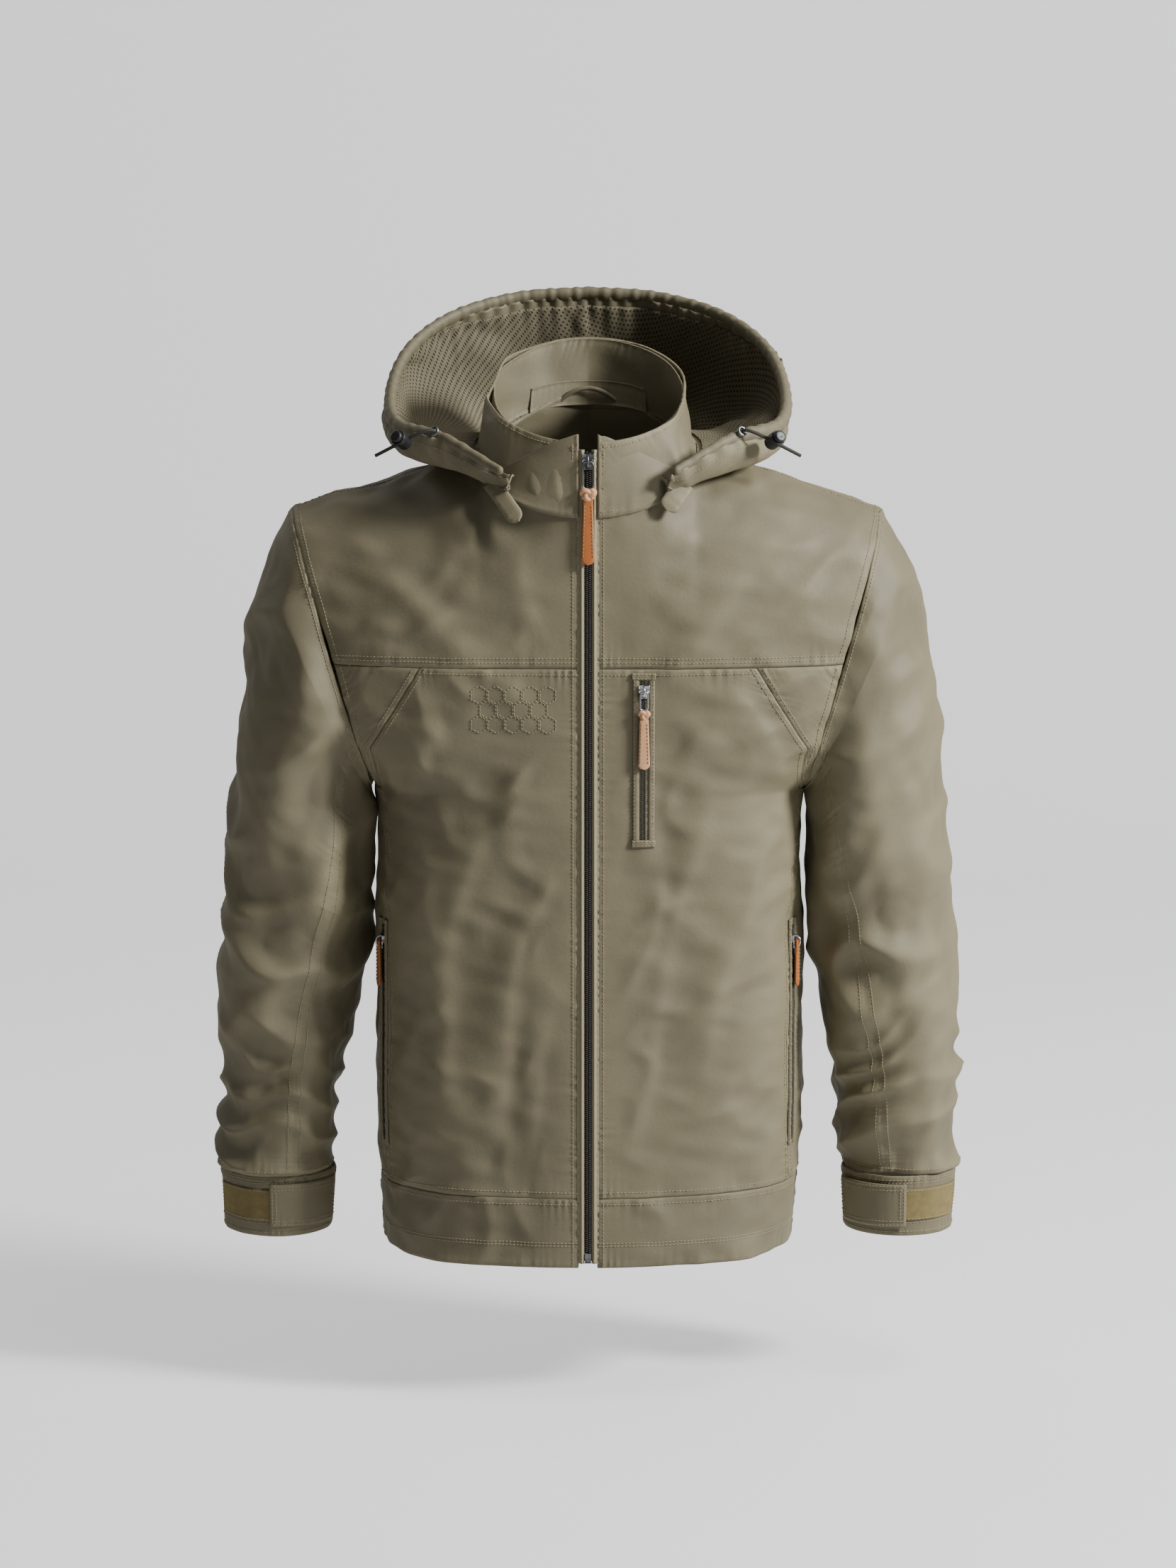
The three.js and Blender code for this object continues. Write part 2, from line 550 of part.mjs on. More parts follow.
const KNOT_WIDE = 15;
const KNOT_HIGH = 11;
const STRAP_THICK = 2;
add("main_knot", knot(KNOT_WIDE, KNOT_HIGH, 6.5, WIRE), leatherPale, mainStrapFrame);
const mainStrap = strap(8.5, 11.6, 54, STRAP_THICK);
add("main_strap", mainStrap, leather, mainStrapFrame).position.z = -KNOT_HIGH * 0.92 - GAP;

// ---------- sleeves ----------
const PLANE_NORMAL = vec(SHOULDER_TIP_Z - ARMPIT_Z, 0, ARMPIT_X - SHOULDER_TIP_X).normalize();
const ARMHOLE_MID = vec((ARMPIT_X + SHOULDER_TIP_X) / 2, 0, (ARMPIT_Z + SHOULDER_TIP_Z) / 2);
const ARMHOLE_HALF_Z = (SHOULDER_TIP_Z - ARMPIT_Z) / 2;

// The armhole's edge on the torso: `angle` runs from 0 at the shoulder tip, forwards and down.
function armholePoint(angle) {
  const z = ARMHOLE_MID.z + ARMHOLE_HALF_Z * Math.cos(angle);
  const side = Math.sin(angle) > 0 ? -1 : 1;
  const x = armholeX(z);
  const roundness = Math.max(0, 1 - (x / halfWidth(z)) ** ROUNDNESS) ** (1 / ROUNDNESS);
  const height = Math.max(0, z - CHEST_SEAM);
  const shoulder = Math.sqrt(Math.max(0, 1 - (height / (shoulderZ(x) - CHEST_SEAM)) ** 2));
  const centre = Math.sqrt(1 - (height / (shoulderZ(0) - CHEST_SEAM)) ** 2);
  return vec(x, (side * depthOf(side, z) * roundness * shoulder) / centre, z);
}
function sleeveEllipse(angle, along) {
  const outer = vec(through(SLEEVE_OUTER_X, along), 0, through(SLEEVE_OUTER_Z, along));
  const inner = vec(through(SLEEVE_INNER_X, along), 0, through(SLEEVE_INNER_Z, along));
  const half = outer.clone().sub(inner).multiplyScalar(0.5);
  const point = outer.add(inner).multiplyScalar(0.5).addScaledVector(half, Math.cos(angle));
  point.y = -through(SLEEVE_DEPTH, along) * Math.sin(angle);
  return point;
}
function sleevePoint(angle, along) {
  const point = sleeveEllipse(angle, along);
  const cap = armholePoint(angle).sub(sleeveEllipse(angle, 0));
  const easing = Math.max(0, 1 - along / CAP_SHARE);
  return point.addScaledVector(cap, easing).addScaledVector(PLANE_NORMAL, SLEEVE_GAP);
}
const sleevePatch = (s) => ({
  us: steps(20),
  vs: [0, 0.04, 0.08, 0.13, 0.18, 0.24, 0.31, 0.4, 0.5, 0.6, 0.7, 0.8, 0.9, 1 - GAP / 400],
  at: (u, v) => {
    const angle = u * 2 * Math.PI;
    const point = sleevePoint(angle, v);
    const middle = sleevePoint(0, v).add(sleevePoint(Math.PI, v)).multiplyScalar(0.5);
    const normal = normalOf(sleevePoint, angle, Math.max(v, 0.02), 0.02, 0.005, point.clone().sub(middle));
    if (v === 0) normal.addScaledVector(PLANE_NORMAL, -normal.dot(PLANE_NORMAL)).normalize();
    if (v > 0.95) normal.setZ(0).normalize();
    return mirrored(s, [point, normal]);
  },
});
// The cuff: `angle` runs from 0 at its outer side, forwards; `down` from 0 at its top to 1 at its foot.
function cuffPoint(angle, down) {
  const narrow = CUFF_TAPER * down;
  return vec(
    CUFF_X + (CUFF_HALF_X - narrow) * Math.cos(angle),
    -(CUFF_HALF_Y - narrow) * Math.sin(angle),
    lerp(CUFF_TOP, CUFF_FOOT, down),
  );
}
const cuffPatch = (s, from, to, top, foot, columns, rows) => ({
  us: steps(columns, from, to),
  vs: steps(rows, top, foot),
  at: (angle, down) => {
    const point = cuffPoint(angle, down);
    return mirrored(s, [point, vec(point.x - CUFF_X, point.y, 0).normalize()]);
  },
});
const STRIP_THICK = 1;
const TAB_THICK = 1.5;
const TAB_SEWN = THREE.MathUtils.degToRad(165);
const TAB_FREE = THREE.MathUtils.degToRad(85);
const STRIP_FROM = THREE.MathUtils.degToRad(15);
const STRIP_TO = THREE.MathUtils.degToRad(110);
const stripProud = -(GAP + STRIP_THICK);
const tabProud = stripProud - GAP - TAB_THICK;
for (const [word, s] of SIDES) {
  // The sleeve's frame turns about the middle of the armhole.
  const sleeveFrame = new THREE.Group();
  sleeveFrame.name = "sleeve_" + word + "_frame";
  sleeveFrame.position.set(s * ARMHOLE_MID.x, 0, ARMHOLE_MID.z);
  jacket.add(sleeveFrame);
  const inPlace = new THREE.Group();
  inPlace.position.set(-s * ARMHOLE_MID.x, 0, -ARMHOLE_MID.z);
  sleeveFrame.add(inPlace);
  add("sleeve_" + word, sheet([sleevePatch(s)], 0, SLEEVE_WALL), cloth, inPlace);
  add("cuff_" + word, sheet([cuffPatch(s, 0, 2 * Math.PI, 0, 1, 20, 2)], 0, SLEEVE_WALL), clothDark, inPlace);
  add("loop_strip_" + word,
    sheet([cuffPatch(s, STRIP_FROM, STRIP_TO, 0.22, 0.74, 8, 1)], stripProud, -GAP), loopPile, inPlace);
  const tabFrame = new THREE.Group();
  const hinge = cuffPoint(TAB_SEWN, 0.5);
  tabFrame.name = "cuff_tab_" + word + "_frame";
  tabFrame.position.set(s * hinge.x, hinge.y, hinge.z);
  inPlace.add(tabFrame);
  const tab = sheet([cuffPatch(s, TAB_FREE, TAB_SEWN, 0.12, 0.84, 8, 1)], tabProud, stripProud - GAP);
  add("cuff_tab_" + word, tab.translate(-s * hinge.x, -hinge.y, -hinge.z), cloth, tabFrame);
}

// ---------- hood, laid back ----------
const HOOD_CLEAR = 4; // room between the hood and the back it lies on
const HOOD_STAND_OFF = 1.1; // how far the hood's seam lies outside the collar
const hoodFrame = new THREE.Group();
hoodFrame.name = "hood_frame";
const HOOD_HINGE = vec(0, -68, 704); // a line through the eyelets, where the hood is held at the front
hoodFrame.position.copy(HOOD_HINGE);
jacket.add(hoodFrame);
const hood = new THREE.Group();
hood.position.copy(HOOD_HINGE).negate();
hoodFrame.add(hood);
const rimPoint = (share) => {
  const f = Math.abs(share);
  return vec(Math.sign(share) * through(RIM_X, f), through(RIM_Y, f), through(RIM_Z, f));
};
// `share` runs from 0 at the back's middle to 1 at the front end; `out` from the neck seam to the rim.
function hoodPoint(share, out) {
  const f = Math.abs(share);
  const s = Math.sign(share) || 1;
  const seam = neckPoint(Math.PI - f * (Math.PI - HOOD_FRONT_ANGLE));
  const away = vec(seam.x, seam.y - RIM_MID_Y, 0).normalize();
  seam.addScaledVector(away, HOOD_STAND_OFF).setZ(seam.z + HOOD_STAND_OFF);
  seam.x *= s;
  const rim = rimPoint(share);
  const back = Math.cos((Math.min(1, f / 0.6) * Math.PI) / 2) ** 2;
  const side = (1 - back) * (1 - f ** 4);
  const outwards = away.clone().setX(s * away.x).multiplyScalar(34 * side);
  const first = seam.clone().add(outwards).add(vec(0, 27 * back, 4 * side - 129 * back));
  const second = rim.clone().add(vec(s * 22 * side, 87 * back + 4 * side, -206 * back - 42 * side));
  const point = new THREE.CubicBezierCurve3(seam, first, second, rim).getPoint(out);
  if (point.z > shoulderZ(point.x) + HOOD_CLEAR) return point;
  const rise = Math.asin(clamp01((point.z - CHEST_SEAM) / (shoulderZ(point.x) - CHEST_SEAM)));
  if (point.y > 0) point.y = Math.max(point.y, upperPoint(1, point.x, rise).y + HOOD_CLEAR);
  else {
    // In front the hood rests on the slope of the shoulder, so it is lifted rather than pushed back.
    const full = upperPoint(-1, point.x, 1).y / Math.cos(1);
    const slope = Math.sqrt(Math.max(0, 1 - (point.y / full) ** 2));
    const cloth = CHEST_SEAM + (shoulderZ(point.x) - CHEST_SEAM) * slope;
    point.z = Math.max(point.z, cloth + HOOD_CLEAR * clamp01(4 * out));
  }
  return point;
}
const hoodPatch = (columns, rows) => ({
  us: columns,
  vs: rows,
  at: (u, v) => {
    const near = Math.min(Math.max(v, 0.02), 0.98);
    const across = hoodPoint(u + 0.01, near).sub(hoodPoint(u - 0.01, near));
    const along = hoodPoint(u, near + 0.01).sub(hoodPoint(u, near - 0.01));
    return [hoodPoint(u, v), along.cross(across).normalize()];
  },
});
const HOOD_ROWS = steps(10);
const HOOD_LINING_DEPTH = SHELL + GAP + 1.1; // slack between the hood and its lining
const HOOD_COLUMNS = steps(24, -1, 1);
add("hood_shell", sheet([hoodPatch(HOOD_COLUMNS, HOOD_ROWS)], 0, SHELL), cloth, hood);
add("hood_lining",
  sheet([hoodPatch(HOOD_COLUMNS.slice(4, -4), [...HOOD_ROWS.slice(2, -1), 0.97])],
    HOOD_LINING_DEPTH, HOOD_LINING_DEPTH + LINING), mesh, hood);

// The elastic channel along the hood's rim, the elastic in it, and its eyelets.
function channelPoint(share) {
  const rim = hoodPoint(share, 1);
  const up = rim.clone().sub(hoodPoint(share, 0.97)).normalize();
  return rim.addScaledVector(up, CHANNEL_RADIUS + CHANNEL_LIFT);
}
const channelRoute = (count, end) => steps(count, -end, end).map(channelPoint);
add("hood_channel", tube(channelRoute(26, 0.985), CHANNEL_RADIUS, CHANNEL_BORE), clothDark, hood);
add("hood_elastic", tube(channelRoute(26, 0.94), ELASTIC / 2), cordBlack, hood);

const EYELET_AT = 0.86; // where along the hood's rim the elastic comes out
const CHANNEL_FACET = 0.7; // how far the channel's flat faces lie inside its radius
const EYELET_OUT = 4.6;
const EYELET_IN = 2.3;
const EYELET_THICK = 1.6;
const LOCK_RADIUS = 6.5;
const LOCK_LOW = 5; // the barrel below its cord, and above it
const LOCK_HIGH = 10;
const BUTTON_RADIUS = 5.2;
const BUTTON_TRAVEL = 3;
const SOCKET = 6; // depth of the button's socket
const LOCK_ALONG = 18; // where the lock sits on the straight of its cord
const CORD_STRAIGHT = 46;
const profile = (...corners) => corners.map(([r, z]) => new THREE.Vector2(r, z));
const turned = (points, segments = 16) => new THREE.LatheGeometry(points, segments).rotateX(Math.PI / 2);
// A frame at a place whose X and Z axes lie along two directions.
function frameAt(place, alongX, alongZ) {
  const x = alongX.clone().normalize();
  const z = alongZ.clone().addScaledVector(x, -alongZ.dot(x)).normalize();
  return new THREE.Matrix4().makeBasis(x, z.clone().cross(x), z).setPosition(place);
}
for (const [word, s] of SIDES) {
  const middle = channelPoint(s * EYELET_AT);
  const tangent = channelPoint(s * (EYELET_AT + 0.01)).sub(middle).normalize();
  const out = vec(0, -1, 0.25);
  const eyeletFrame = new THREE.Group();
  eyeletFrame.applyMatrix4(frameAt(middle, tangent, out));
  hood.add(eyeletFrame);
  const low = CHANNEL_RADIUS - CHANNEL_FACET + GAP;
  const high = low + EYELET_THICK;
  add("eyelet_" + word, turned(profile(
    [EYELET_IN, low], [EYELET_OUT, low], [EYELET_OUT, high - 0.5], [EYELET_OUT - 0.5, high],
    [EYELET_IN, high], [EYELET_IN, low],
  )), gunmetal, eyeletFrame);
  out.addScaledVector(tangent, -out.dot(tangent)).normalize();
  const along = vec(s * 0.85, 0.25, -0.46).normalize();
  const start = middle.clone().addScaledVector(out, high + GAP);
  const bend = start.clone().addScaledVector(out, 6).addScaledVector(along, 8);
  const route = [start, start.clone().addScaledVector(out, 3), bend];
  for (const far of [6, 14, 22, 30, 38, CORD_STRAIGHT])
    route.push(bend.clone().addScaledVector(along, far));
  add("cord_end_" + word, tube(route, ELASTIC / 2), cordBlack, hood);

  const lockFrame = new THREE.Group();
  lockFrame.name = "cord_lock_" + word + "_frame";
  const lockAt = bend.clone().addScaledVector(along, LOCK_ALONG);
  lockFrame.applyMatrix4(frameAt(lockAt, along, vec(0, -0.8, 0.6)));
  hood.add(lockFrame);
  const socketFloor = LOCK_HIGH - SOCKET;
  const barrel = turned(profile(
    [0, -LOCK_LOW], [LOCK_RADIUS - 1, -LOCK_LOW], [LOCK_RADIUS, 1 - LOCK_LOW], [LOCK_RADIUS, LOCK_HIGH],
    [BUTTON_RADIUS + GAP, LOCK_HIGH], [BUTTON_RADIUS + GAP, socketFloor], [0, socketFloor],
  ));
  const bore = new THREE.CylinderGeometry(ELASTIC / 2 + GAP, ELASTIC / 2 + GAP, 4 * LOCK_RADIUS, 12);
  add("cord_lock_" + word, cut(barrel, bore.rotateZ(Math.PI / 2)), plastic, lockFrame);
  const buttonFoot = socketFloor + BUTTON_TRAVEL + GAP;
  add("lock_button_" + word, turned(profile(
    [0, buttonFoot], [BUTTON_RADIUS, buttonFoot], [BUTTON_RADIUS, LOCK_HIGH + BUTTON_TRAVEL],
    [BUTTON_RADIUS - 1, LOCK_HIGH + BUTTON_TRAVEL + 1], [0, LOCK_HIGH + BUTTON_TRAVEL + 1],
  )), plastic, lockFrame);
}

// ---------- pockets ----------
const POCKET_COIL = 2.5; // half width of a pocket zip's teeth
const POCKET_PROUD = 1.2;
const POCKET_SLIDER = { wide: 9.6, high: 12, foot: 1.5, proud: POCKET_PROUD + GAP, metal: silver };
const onFront = (s) => (x, z) => mirrored(s, lower(-1, turnAt(x, z), z));
const bagDepth = SHELL + 3 * GAP;
const patchOn = (at, us, vs) => ({ us, vs, at });
// A slider's frame on the cloth: its cloth face at Y = 0, its Z axis up the zip.
function zipFrame(at, across, low, high, place) {
  const [foot, normal] = at(across, low);
  const [head] = at(across, high);
  const up = head.clone().sub(foot).normalize();
  const point = foot.clone().addScaledVector(up, place);
  const y = normal.clone().negate();
  y.addScaledVector(up, -y.dot(up)).normalize();
  return new THREE.Matrix4().makeBasis(y.clone().cross(up), y, up).setPosition(point);
}

const CHEST_X = 47; // centre of the chest pocket's zip
const CHEST_FOOT = 364;
const CHEST_HEAD = 511;
const CHEST_WELT = 9.5; // half width of its welt
const CHEST_SLOT = 4;
const WELT_END = 5;
const WELT_THICK = 0.8;
const chest = onFront(1);
const weltSides = [CHEST_X - CHEST_WELT, CHEST_X - CHEST_SLOT, CHEST_X + CHEST_SLOT, CHEST_X + CHEST_WELT];
const weltRows = steps(4, CHEST_FOOT + WELT_END, CHEST_HEAD - WELT_END);
add("chest_pocket_welt", sheet([
  patchOn(chest, weltSides.slice(0, 2), weltRows),
  patchOn(chest, weltSides.slice(2), weltRows),
  patchOn(chest, weltSides, [CHEST_FOOT, CHEST_FOOT + WELT_END]),
  patchOn(chest, weltSides, [CHEST_HEAD - WELT_END, CHEST_HEAD]),
], -(GAP + WELT_THICK), -GAP), clothDark);
const coilEnds = [CHEST_FOOT + WELT_END + GAP, CHEST_HEAD - WELT_END - GAP];
add("chest_zip_coil", sheet([
  patchOn(chest, [CHEST_X - POCKET_COIL, CHEST_X + POCKET_COIL], steps(4, ...coilEnds)),
], -POCKET_PROUD, -GAP), teeth);
add("chest_pocket_bag", sheet([
  patchOn(chest, steps(4, CHEST_X + 12, CHEST_X + 70),
    bodyRows.filter((z) => z > CHEST_FOOT - 60 && z < CHEST_HEAD - 40)),
], bagDepth, bagDepth + BAG), mesh);
const chestPull = zipPull("chest", jacket,
  zipFrame(chest, CHEST_X, CHEST_FOOT, CHEST_HEAD, CHEST_HEAD - CHEST_FOOT - WELT_END - 16), POCKET_SLIDER);
const CHEST_LOOP = 17;
add("chest_puller", puller(8, CHEST_LOOP, WIRE), silver, chestPull);
const chestStrapFrame = new THREE.Group();
chestStrapFrame.name = "chest_strap_frame";
chestStrapFrame.position.set(0, 0, WIRE - CHEST_LOOP);
chestPull.add(chestStrapFrame);
const chestKnot = knot(12, 9, 5.5, WIRE);
const chestTail = strap(7.5, 10, 44, STRAP_THICK).translate(0, 0, -6);
add("chest_strap", join(chestKnot, chestTail), leatherPale, chestStrapFrame);

const HAND_TURN = 0.31; // how far round from the side the hand pocket's zip lies
const HAND_FOOT = 100;
const HAND_HEAD = 282;
const COIL_TURN = 0.019; // half its width, as a turn
const HAND_BULGE = 0.7; // how far the curved zip stands out from the straight line its slider runs on
const HAND_SLIDER = {
  ...POCKET_SLIDER,
  foot: 0.4 + HAND_BULGE,
  proud: POCKET_SLIDER.proud + HAND_BULGE,
};
for (const [word, s] of SIDES) {
  const side = (turn, z) => mirrored(s, lower(-1, turn, z));
  add("hand_zip_coil_" + word, sheet([
    patchOn(side, [HAND_TURN - COIL_TURN, HAND_TURN + COIL_TURN], steps(4, HAND_FOOT, HAND_HEAD)),
  ], -POCKET_PROUD, -GAP), teeth);
  add("hand_pocket_bag_" + word, sheet([
    patchOn(onFront(s), steps(7, 45, 150), steps(4, HAND_FOOT - 20, HAND_HEAD - 15)),
  ], bagDepth, bagDepth + BAG), mesh);
  const pull = zipPull("hand_" + word, jacket,
    zipFrame(side, HAND_TURN, HAND_FOOT, HAND_HEAD, HAND_HEAD - HAND_FOOT - 18), HAND_SLIDER);
  const handStrap = strap(7, 9.5, 40, STRAP_THICK, 3.2).translate(0, 0, STRAP_BAR / 2);
  add("hand_strap_" + word, handStrap, leather, pull);
}

// ---------- hanger loop ----------
const LOOP_RADIUS = 2;
const LOOP_SPREAD = 0.26; // half its span round the collar, as an angle
const loopPoint = (share) => {
  const rise = 1 - share ** 2;
  const angle = Math.PI - Math.abs(share) * LOOP_SPREAD;
  const point = collarPoint(angle, 0.14 + 0.16 * rise);
  const inwards = vec(0, -(FACING_DEPTH + SHELL + 2 * GAP + LOOP_RADIUS + 6 * rise), 0);
  point.x *= Math.sign(share) || 1;
  return point.add(inwards);
};
add("hanger_loop", tube(steps(12, -1, 1).map(loopPoint), LOOP_RADIUS), clothDark);

const root = new THREE.Group();
root.add(jacket);
jacket.position.copy(loopPoint(0)).negate();
export default root;
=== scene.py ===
import json
import math

import bpy
import numpy as np
from bpy.props import FloatProperty, FloatVectorProperty, PointerProperty
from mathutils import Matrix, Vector


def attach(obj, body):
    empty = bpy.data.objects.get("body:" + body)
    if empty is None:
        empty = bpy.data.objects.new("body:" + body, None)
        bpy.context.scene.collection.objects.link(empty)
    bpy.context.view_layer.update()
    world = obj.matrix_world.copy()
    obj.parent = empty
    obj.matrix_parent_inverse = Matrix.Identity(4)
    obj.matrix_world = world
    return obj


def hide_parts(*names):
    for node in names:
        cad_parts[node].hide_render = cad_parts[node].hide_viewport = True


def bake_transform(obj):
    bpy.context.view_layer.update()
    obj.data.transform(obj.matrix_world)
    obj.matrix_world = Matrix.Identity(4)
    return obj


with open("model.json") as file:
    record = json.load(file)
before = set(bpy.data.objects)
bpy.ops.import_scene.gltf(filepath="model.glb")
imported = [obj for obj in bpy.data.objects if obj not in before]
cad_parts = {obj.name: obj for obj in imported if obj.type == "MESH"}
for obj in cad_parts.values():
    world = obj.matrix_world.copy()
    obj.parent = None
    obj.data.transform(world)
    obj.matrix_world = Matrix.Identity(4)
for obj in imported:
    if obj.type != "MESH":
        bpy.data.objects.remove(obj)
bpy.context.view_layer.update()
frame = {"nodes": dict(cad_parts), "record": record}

bl_info = {
    "name": "Beekeeping jacket",
    "version": (1, 0, 0),
    "blender": (4, 5, 0),
    "location": "3D View > Sidebar > Jacket",
    "description": "Builds the finished cloth, trim and stage of a hooded beekeeping jacket",
    "category": "Object",
}

# Sizes are in millimetres above the hem's front edge, as in the CAD source, until they reach a mesh.
HANGER = np.array([0.0, 64.4, 736.6])  # the frame's origin in those heights
NAVEL = 2 / 2.6  # power of the torso's superellipse
CHEST = 515.0
ARMPIT = (185.0, 405.0)
TIP = (253.0, 640.0)
NECK_X = 92.0
LEAN = (124.0 - 98.0) / 706.0
HEM_TOP = 60.0
HEM_FRONT_DEPTH = 124  # the front ahead of the middle plane, at the hem
CHEST_ROOM = 60  # how far the chest is wider than the armhole's plane
ROUNDNESS = 2.6  # exponent of the torso's superellipse
SHOULDER_SLOPE = 0.32  # rise of the shoulder per millimetre towards the neck
NECK_LIFT = 60  # how far the shoulder line rises above its slope at the neck's centre
NECK_FRONT_Z, NECK_BACK_Z = 642.0, 718.0  # the neck seam
COLLAR_X = 84  # half width of the collar's rim
COLLAR_FRONT, COLLAR_BACK = (98, 706), (78, 780)  # depth and height of the collar's rim
CUFF_X, CUFF_HALF, CUFF_TAPER = 272, 50, 3
CUFF_TOP, CUFF_FOOT = 62, 8  # heights of the cuff's edges
SHELL = 1.3

BACK = [[0, 112], [60, 113], [150, 110], [300, 108], [405, 113], [515, 119],
        [600, 110], [640, 100], [690, 86], [718, 76], [780, 72]]
WAIST = [[0, 177], [60, 181], [150, 183], [300, 182], [405, 185]]
SIDE_SEAM = [[60, 173], [200, 171], [300, 172], [400, 179], [443, 186]]
OUTER_X = [[0, 253], [0.08, 277], [0.18, 291], [0.3, 300], [0.45, 308], [0.6, 314], [0.8, 321], [1, 322]]
OUTER_Z = [[0, 640], [0.08, 596], [0.18, 535], [0.3, 462], [0.45, 372], [0.6, 282], [0.8, 162], [1, 62]]
INNER_X = [[0, 185], [0.08, 186.5], [0.18, 187], [0.3, 188], [0.45, 190], [0.6, 197], [0.8, 214], [1, 222]]
INNER_Z = [[0, 405], [0.08, 396], [0.18, 380], [0.3, 345], [0.45, 290], [0.6, 230], [0.8, 142], [1, 62]]
ARM_DEPTH = [[0, 82], [0.08, 84], [0.18, 81], [0.3, 74], [0.45, 66], [0.6, 62], [0.8, 57], [1, 50]]
RIM_X = [[0, 0], [0.15, 62], [0.3, 118], [0.45, 156], [0.6, 172], [0.75, 165], [0.88, 122], [1, 70]]
RIM_Y = [[0, 175], [0.15, 168], [0.3, 138], [0.45, 92], [0.6, 38], [0.75, -22], [0.88, -70], [1, -103]]
RIM_Z = [[0, 806], [0.15, 802], [0.3, 788], [0.45, 764], [0.6, 734], [0.75, 708], [0.88, 700], [1, 674]]
SIDES = (("left", -1), ("right", 1))


# ---------- numbers along curves ----------
def lerp(a, b, t):
    """a + (b - a) t."""
    return a + (b - a) * t


def smooth(t):
    """3t^2 - 2t^3, with t held between 0 and 1."""
    t = np.clip(t, 0, 1)
    return t * t * (3 - 2 * t)


def stack(*parts):
    """Separate coordinates, broadcast and joined along a last axis."""
    return np.stack(np.broadcast_arrays(*parts), axis=-1).astype(float)


def unit(v):
    """v over its length."""
    return v / np.maximum(np.linalg.norm(v, axis=-1, keepdims=True), 1e-9)


def through(knots, place):
    """A smooth value through knots: Hermite cubics whose slope at a knot is that of the chord over it."""
    x, y = np.array(knots, float).T
    at = np.clip(place, x[0], x[-1])
    i = np.clip(np.searchsorted(x, at) - 1, 0, len(x) - 2)
    low, high, far = np.maximum(i - 1, 0), i + 1, np.minimum(i + 2, len(x) - 1)
    before = (y[high] - y[low]) / (x[high] - x[low])
    after = (y[far] - y[i]) / (x[far] - x[i])
    width = x[high] - x[i]
    t = (at - x[i]) / width
    a = 2 * t**3 - 3 * t**2 + 1
    b = (t**3 - 2 * t**2 + t) * width * before
    c = (t**3 - t**2) * width * after
    return a * y[i] + (1 - a) * y[high] + b + c


def dense_ends(count):
    """count + 1 places from 0 to 1 that lie closer together at both ends."""
    t = np.linspace(0, 1, count + 1)
    return t - 0.07 * np.sin(2 * np.pi * t)


# ---------- the torso's surface ----------
def armhole_x(z):
    """A straight line in x and z from the armpit to the shoulder's tip."""
    return lerp(ARMPIT[0], TIP[0], (z - ARMPIT[1]) / (TIP[1] - ARMPIT[1]))


def shoulder_z(x):
    """The tip's height, plus the slope times the way in from the tip, plus a parabola over the neck."""
    return TIP[1] + (TIP[0] - np.abs(x)) * SHOULDER_SLOPE + NECK_LIFT * np.maximum(0, 1 - (x / NECK_X) ** 2)


def depth_of(side, z):
    """Half depth: in front it falls in a line with height, behind it follows BACK."""
    return np.where(np.asarray(side) < 0, HEM_FRONT_DEPTH - LEAN * z, through(BACK, z))


def half_width(z):
    """WAIST below the armpit, and above it the armhole's x plus a room that grows as 1 - (1 - g)^2."""
    grown = np.clip((z - ARMPIT[1]) / (CHEST - ARMPIT[1]), 0, 1)
    return np.where(z <= ARMPIT[1], through(WAIST, z), armhole_x(z) + CHEST_ROOM * (1 - (1 - grown) ** 2))


def lower(side, turn, z):
    """(w cos^p(turn), d sin^p(turn), z): the superellipse of half width w and depth d at height z."""
    cosine, sine = np.clip(np.cos(turn), 0, 1), np.clip(np.sin(turn), 0, 1)
    return stack(half_width(z) * cosine**NAVEL, side * depth_of(side, z) * sine**NAVEL, z)


def turn_at(x, z):
    """The turn that lower needs to reach x: arccos of (x over the half width) to the power 1.3."""
    return np.arccos(np.clip(np.abs(x) / half_width(z), 0, 1) ** 1.3)


def upper(side, x, rise):
    """Over the chest seam y follows d cos(rise), thinned towards the armhole, up to the shoulder's line."""
    z = CHEST + (shoulder_z(x) - CHEST) * np.sin(rise)
    centre = np.sqrt(np.maximum(1e-6, 1 - ((z - CHEST) / (shoulder_z(0) - CHEST)) ** 2))
    thin = (1 - np.clip(np.abs(x) / half_width(z), 0, 1) ** ROUNDNESS) ** (1 / ROUNDNESS)
    y = np.maximum(depth_of(side, z) * thin * np.cos(rise) / centre, 0.15)
    return stack(x, side * y, z)


def neck_z(side, x):
    """The neck seam: a quarter ellipse in front and a cubic behind, both from the shoulder at NECK_X."""
    share, end = np.minimum(1, np.abs(x) / NECK_X), shoulder_z(NECK_X)
    front = lerp(end, NECK_FRONT_Z, np.sqrt(1 - share**2))
    return np.where(np.asarray(side) < 0, front, lerp(NECK_BACK_Z, end, share**3))


def neck_rise(side, x):
    """The arcsine of the share of the way from the chest seam to the shoulder line at which the neck seam lies."""
    share = np.clip((neck_z(side, x) - CHEST) / (shoulder_z(x) - CHEST), 0, 1)
    return np.where(np.abs(x) >= NECK_X - 1e-6, np.pi / 2, np.arcsin(share))


def armhole_edge(rise):
    """The armhole's x at a rise, found by putting each guess back into its own formula twelve times."""
    x = armhole_x(CHEST)
    for _ in range(12):
        x = armhole_x(CHEST + (shoulder_z(x) - CHEST) * np.sin(rise))
    return x


def neck(angle):
    """The neck seam as a closed curve, by angle from the front."""
    x = NECK_X * np.sin(angle)
    side = np.where(np.cos(angle) > 0, -1, 1)
    return upper(side, x, neck_rise(side, x))


